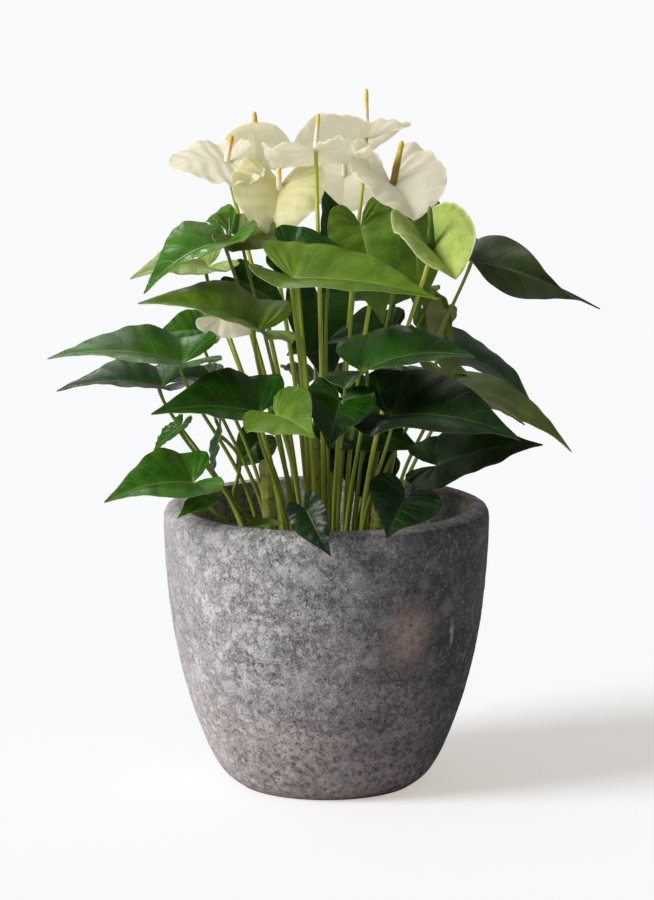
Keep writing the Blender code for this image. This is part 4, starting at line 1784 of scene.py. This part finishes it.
    def __init__(self, library: Library) -> None:
        """Routes every stem: first the CAD model's, then the inner leaves' among them.

        Args:
            library: the materials.
        """
        self.library = library
        stems = Stems()
        blades = {name: leaf.blade for name, leaf in self.LEAVES.items()}
        blades.update({number: flower.spathe for number, flower in self.FLOWERS.items()})
        self.routes = {name: cane.route(stems) for name, cane in self.CANES.items()}
        self.routes.update({name: stems.route(blade) for name, blade in blades.items()})
        stems.spread(self.routes)
        held = frozenset(self.routes)
        self.routes.update({name: stems.route(leaf.blade) for name, leaf in self.INNER_LEAVES.items()})
        stems.spread(self.routes, held)

    def build(self) -> None:
        """Makes every piece of the plant."""
        for name, cane in self.CANES.items():
            cane.build(name, self.routes[name], self.library)
        for leaves, in_cad in ((self.LEAVES, True), (self.INNER_LEAVES, False)):
            for name, leaf in leaves.items():
                leaf.build(name, self.routes[name], self.library, in_cad)
        for number, flower in self.FLOWERS.items():
            flower.build(number, self.routes[number], self.library)


# ------------------------------------------------------------------------------------------------
# The pot and its soil
# ------------------------------------------------------------------------------------------------
@dataclass(frozen=True)
class Pot:
    """The turned pot, with the slight wander of a hand-made one.

    Its profile's radii and heights are in millimetres, and the rest is in metres.
    """

    outside: tuple[tuple[float, float], ...] = (
        (143, 270), (150, 268), (154.5, 262), (154.5, 243), (152, 200), (147, 155),
        (139, 114), (128, 75), (114, 38), (104, 19), (95, 8), (84, 0),
    )
    inside: tuple[tuple[float, float], ...] = (
        (76, 20), (92, 30), (113, 75), (124, 114), (131, 155), (134, 200), (135, 262), (138, 268),
    )
    floor: tuple[float, ...] = (0.0, 25.0, 50.0, 68.0)
    floor_height: float = 20.0
    foot: tuple[float, ...] = (78.0, 60.0, 40.0, 20.0, 0.0)
    spacing: float = 2.6  # between points down the profile
    steps: int = 320
    wander: float = 0.5 * MM
    wanders: float = 11  # a metre
    lumps: float = 0.32 * MM
    lump_count: float = 130  # a metre
    even_radius: float = 70 * MM  # nearer the axis, and lower than the next, the pot is even
    even_height: float = 1 * MM

    def _profile(self) -> list[Vector]:
        """The pot's outline.

        Returns:
            Its points, from the axis up the inside, over the rim and down to the axis again.
        """
        wall = [*self.inside, *self.outside]
        points = []
        for i in range(len(wall) - 1):
            span = math.dist(wall[i], wall[i + 1])
            count = max(int(span / self.spacing), 2)
            points += [cubic(wall, i + k / count) for k in range(count)]
        points.append(list(wall[-1]))
        floor = [(r, self.floor_height) for r in self.floor]
        foot = [(r, 0.0) for r in self.foot]
        return [Vector((r * MM, 0.0, max(z, 0.0) * MM)) for r, z in [*floor, *points, *foot]]

    def build(self, library: Library) -> None:
        """Turns the pot and gives its wall the unevenness of thick glaze.

        Args:
            library: the materials.
        """
        bm = turned(self._profile(), self.steps)
        for vertex in bm.verts:
            out = Vector((vertex.co.x, vertex.co.y, 0.0))
            if vertex.co.z > self.even_height and out.length > self.even_radius:
                slow = noise.noise(vertex.co * self.wanders)
                quick = noise.fractal(vertex.co * self.lump_count, 0.6, 2.0, 3)
                vertex.co += out.normalized() * (slow * self.wander + quick * self.lumps)
                vertex.co.z += quick * self.lumps * 0.5
        piece("pot_shell", bm, (library.glaze,), ("pot",), crease=80)


@dataclass(frozen=True)
class Soil:
    """Potting soil with bark chips on it."""

    top: float = 208 * MM
    radius: float = 133.2 * MM
    depth: float = 40 * MM
    underside: float = 0.97  # the underside's radius, as a share of the top's
    rings: int = 44
    steps: int = 160
    crumb: float = 3.2 * MM
    crumbs: float = 45  # a metre
    chips: int = 420
    chip_size: Triple = (6.5, 3.6, 1.9)  # half sizes, in millimetres
    chip_sizes: tuple[float, float] = (0.6, 1.4)  # the smallest and the largest, as shares of that
    chip_height: float = 1.6 * MM
    tilt: float = 0.5  # radians
    jag: float = 0.28
    seed: int = 11

    def build(self, library: Library) -> None:
        """Makes the crumbly surface and the chips."""
        self._surface(library)
        self._chips(library)

    def _surface(self, library: Library) -> None:
        """Makes the soil.

        Args:
            library: the materials.
        """
        foot = Vector((0, 0, self.top - self.depth))
        rings = [Vector((self.radius * i / self.rings, 0, self.top)) for i in range(self.rings + 1)]
        bm = turned([*rings, Vector((self.radius * self.underside, 0, foot.z)), foot], self.steps)
        for vertex in bm.verts:
            if vertex.co.z > self.top - 1 * MM:
                vertex.co.z += self.crumb * noise.fractal(vertex.co * self.crumbs, 0.7, 2.0, 4)
        piece("soil_surface", bm, (library.soil,), ("soil",))

    def _chips(self, library: Library) -> None:
        """Scatters the bark chips over the soil, each turned and jagged in its own way.

        Args:
            library: the materials.
        """
        bm = bmesh.new()
        chance = random.Random(self.seed)
        for _ in range(self.chips):
            spread = self.radius * 0.96 * math.sqrt(chance.random())
            angle = chance.uniform(0, math.tau)
            size = [chance.uniform(*self.chip_sizes) * s * MM for s in self.chip_size]
            made = bmesh.ops.create_icosphere(bm, subdivisions=1, radius=1.0)["verts"]
            tilts = [chance.uniform(-self.tilt, self.tilt) for _ in range(2)]
            turn = Euler([*tilts, chance.uniform(0, math.tau)])
            place = (spread * math.cos(angle), spread * math.sin(angle), self.top + self.chip_height)
            for vertex in made:
                jag = 1.0 + chance.uniform(-self.jag, self.jag)
                vertex.co = Vector([a * b * jag for a, b in zip(vertex.co, size)])
            move = Matrix.Translation(place) @ turn.to_matrix().to_4x4()
            bmesh.ops.transform(bm, verts=made, matrix=move)
        piece("bark_chips", bm, (library.chips,), (), crease=30)


class Scraps:
    """The papery sheaths at the crown and a cut leaf base, each a narrow curved strip."""

    OUTLINE = Outline(
        ((0.0, 0.30, 0.0), (0.1, 0.42, 0.08), (0.35, 0.5, 0.35), (0.7, 0.34, 0.7), (1.0, 0.02, 1.0))
    )
    THICKNESS = 0.5 * MM
    GRID = (24, 10)
    CUT = Blade((-78, -86, 262), (-40, -96, 268), 15, (0, -0.6, 1), 30, 0.05, quilt=0.0)
    # Each dry sheath's junction, tip, width and face.
    DRY = (
        ((-60, -52, 210), (-66, -66, 262), 16, (-0.2, -1, 0.2)),
        ((-44, -48, 210), (-36, -62, 250), 13, (0.4, -1, 0.2)),
        ((-16, -6, 210), (-22, -20, 268), 14, (-0.2, -1, 0.1)),
        ((-2, 10, 210), (6, 2, 258), 13, (0.6, -1, 0.2)),
        ((48, -18, 210), (60, -28, 244), 14, (0.5, -1, 0.2)),
        ((36, -14, 210), (30, -26, 250), 12, (-0.4, -1, 0.2)),
    )

    def build(self, library: Library) -> None:
        """Makes each scrap.

        Args:
            library: the materials.
        """
        self._strip("cut_sheath", self.CUT, library.leaf[Tone.FRESH])
        for index, row in enumerate(self.DRY, start=1):
            self._strip("sheath_%d" % index, Blade(*row, 34, 0.08, 20, 0.06, quilt=0.0), (library.scrap,) * 3)

    def _strip(self, name: str, blade: Blade, materials: Sequence[bpy.types.Material]) -> None:
        """Makes one strip."""
        sheet = thickened(blade.sheet(self.OUTLINE, *self.GRID), self.THICKNESS)
        piece(name, sheet, materials, ())


# ------------------------------------------------------------------------------------------------
# The studio
# ------------------------------------------------------------------------------------------------
@dataclass(frozen=True)
class Panel:
    """A panel of light: its place, its two sides and its power, in metres and watts."""

    place: Triple
    sides: tuple[float, float]
    power: float

    def build(self, aim: Triple) -> None:
        """Sets the panel up, so that it only shows as a sheen on what is glossy.

        Args:
            aim: the point that it faces.
        """
        lamp = bpy.data.lights.new("sheen", "AREA")
        lamp.shape = "RECTANGLE"
        lamp.size, lamp.size_y = self.sides
        lamp.energy = self.power
        made = put("sheen", lamp)
        made.location = self.place
        made.rotation_euler = (Vector(self.place) - Vector(aim)).to_track_quat("Z", "Y").to_euler()
        made.visible_diffuse = False
        made.visible_camera = False


@dataclass(frozen=True)
class Studio:
    """A pale floor, one soft light from the left, an even fill, and the camera."""

    white: Triple = (0.947, 0.955, 0.962)
    fill: float = 0.27
    fill_blue: float = 1.03  # how much bluer than grey the fill is
    key_strength: float = 3.1
    key_softness: float = 26.0  # degrees that the light spans
    key_tint: Triple = (1.0, 0.985, 0.955)
    key_bearing: tuple[float, float] = (-0.91, -0.41)
    key_height: float = 28.0  # degrees above the floor
    camera_place: Triple = (0.0005, -4.0, 1.028)
    camera_aim: Triple = (0.0005, 0.0, 0.321)
    focal: float = 170.9
    sensor: float = 36.0
    floor_radius: float = 6.0
    floor_tone: Triple = (0.82, 0.82, 0.82)
    shadow_depth: Triple = (0.45, 0.50, 0.565)
    shadow_end: tuple[float, float] = (0.9, 2.2)  # how far off the shadow fades into the white
    # A broad panel overhead, and a small, crisp one behind.
    sheens: tuple[Panel, ...] = (
        Panel((-0.5, 1.1, 2.6), (1.6, 1.1), 16.0),
        Panel((-0.7, 2.4, 2.4), (0.55, 0.4), 9.0),
    )

    def build(self) -> None:
        """Sets the whole studio up."""
        scene = bpy.context.scene
        scene.view_settings.view_transform = "Standard"
        self._floor()
        self._world(scene)
        self._key()
        for panel in self.sheens:
            panel.build(self.camera_aim)
        self._camera(scene)

    def _lit(self) -> list[float]:
        """What a white, level surface sends back under the key and the fill."""
        key = self.key_strength * math.sin(math.radians(self.key_height)) / math.pi
        return [key * tint + self.fill for tint in self.key_tint]

    @staticmethod
    def _seen(nodes: Nodes) -> Wire:
        """Tells what the camera sees from what only lights the scene.

        Args:
            nodes: the material or the world that asks.

        Returns:
            1 where the camera sees the surface, straight or through another, and 0 elsewhere.
        """
        path = nodes.node("ShaderNodeLightPath").socket.node
        rays = [Wire(nodes, path.outputs[name]) for name in ("Is Camera Ray", "Is Transmission Ray")]
        return rays[0].most(rays[1])

    def _floor(self) -> None:
        """The floor: it glows just enough for the camera to see white where no shadow falls."""
        bm = bmesh.new()
        bmesh.ops.create_circle(bm, cap_ends=True, segments=96, radius=self.floor_radius)
        data = bpy.data.meshes.new("studio_floor")
        bm.to_mesh(data)
        bm.free()
        put("studio_floor", data)
        recipe = Recipe("studio_floor")
        recipe.done({"Base Color": self.floor_tone, "Roughness": 0.9, "Specular IOR Level": 0.0})
        x, y, _ = recipe.split(recipe.place())
        far = recipe.fade((x * x + y * y) ** 0.5, *self.shadow_end)
        glow = tuple(white - share for white, share in zip(self.white, self.shadow_depth))
        albedo = tuple(share / level for share, level in zip(self.shadow_depth, self._lit()))
        white = recipe.node("ShaderNodeEmission", inputs={"Color": self.white, "Strength": 1.0})
        own = recipe.node("ShaderNodeEmission", inputs={"Color": glow, "Strength": 1.0})
        lit = recipe.node("ShaderNodeBsdfDiffuse", inputs={"Color": albedo})
        near = recipe.node("ShaderNodeAddShader", inputs={0: own, 1: lit})
        seen = recipe.node("ShaderNodeMixShader", inputs={0: far, 1: near, 2: white})
        inputs = {0: self._seen(recipe), 1: recipe.plain(), 2: seen}
        recipe.shown_as(recipe.node("ShaderNodeMixShader", inputs=inputs))
        data.materials.append(recipe.material)

    def _world(self, scene: bpy.types.Scene) -> None:
        """An even fill, seen as white.

        Args:
            scene: the scene that it lights.
        """
        scene.world = bpy.data.worlds.new("studio")
        backdrop = Backdrop(scene.world)
        fill = (self.fill, self.fill, self.fill * self.fill_blue)
        backdrop.colour(backdrop.blend(self._seen(backdrop), fill, self.white))

    def _key(self) -> None:
        """The key light: broad and far off, so that it falls evenly."""
        lamp = bpy.data.lights.new("key", "SUN")
        lamp.energy = self.key_strength
        lamp.angle = math.radians(self.key_softness)
        lamp.color = self.key_tint
        towards = Vector((*self.key_bearing, 0)).normalized() * math.cos(math.radians(self.key_height))
        towards.z = math.sin(math.radians(self.key_height))
        put("key", lamp).rotation_euler = towards.to_track_quat("Z", "Y").to_euler()

    def _camera(self, scene: bpy.types.Scene) -> None:
        """The camera, with a long lens, a little above the rim.

        Args:
            scene: the scene that it shows.
        """
        lens = bpy.data.cameras.new("camera")
        lens.lens = self.focal
        lens.sensor_width = self.sensor
        made = put("camera", lens)
        made.location = self.camera_place
        aim = Vector(self.camera_aim) - Vector(self.camera_place)
        made.rotation_euler = aim.to_track_quat("-Z", "Y").to_euler()
        scene.camera = made


def main() -> None:
    """Builds the studio, the pot, its soil and the plant."""
    logging.basicConfig(level=logging.INFO, format="%(message)s")
    Studio().build()
    library = Library()
    Pot().build(library)
    Soil().build(library)
    Scraps().build(library)
    Plant(library).build()


if __name__ == "__main__":
    main()
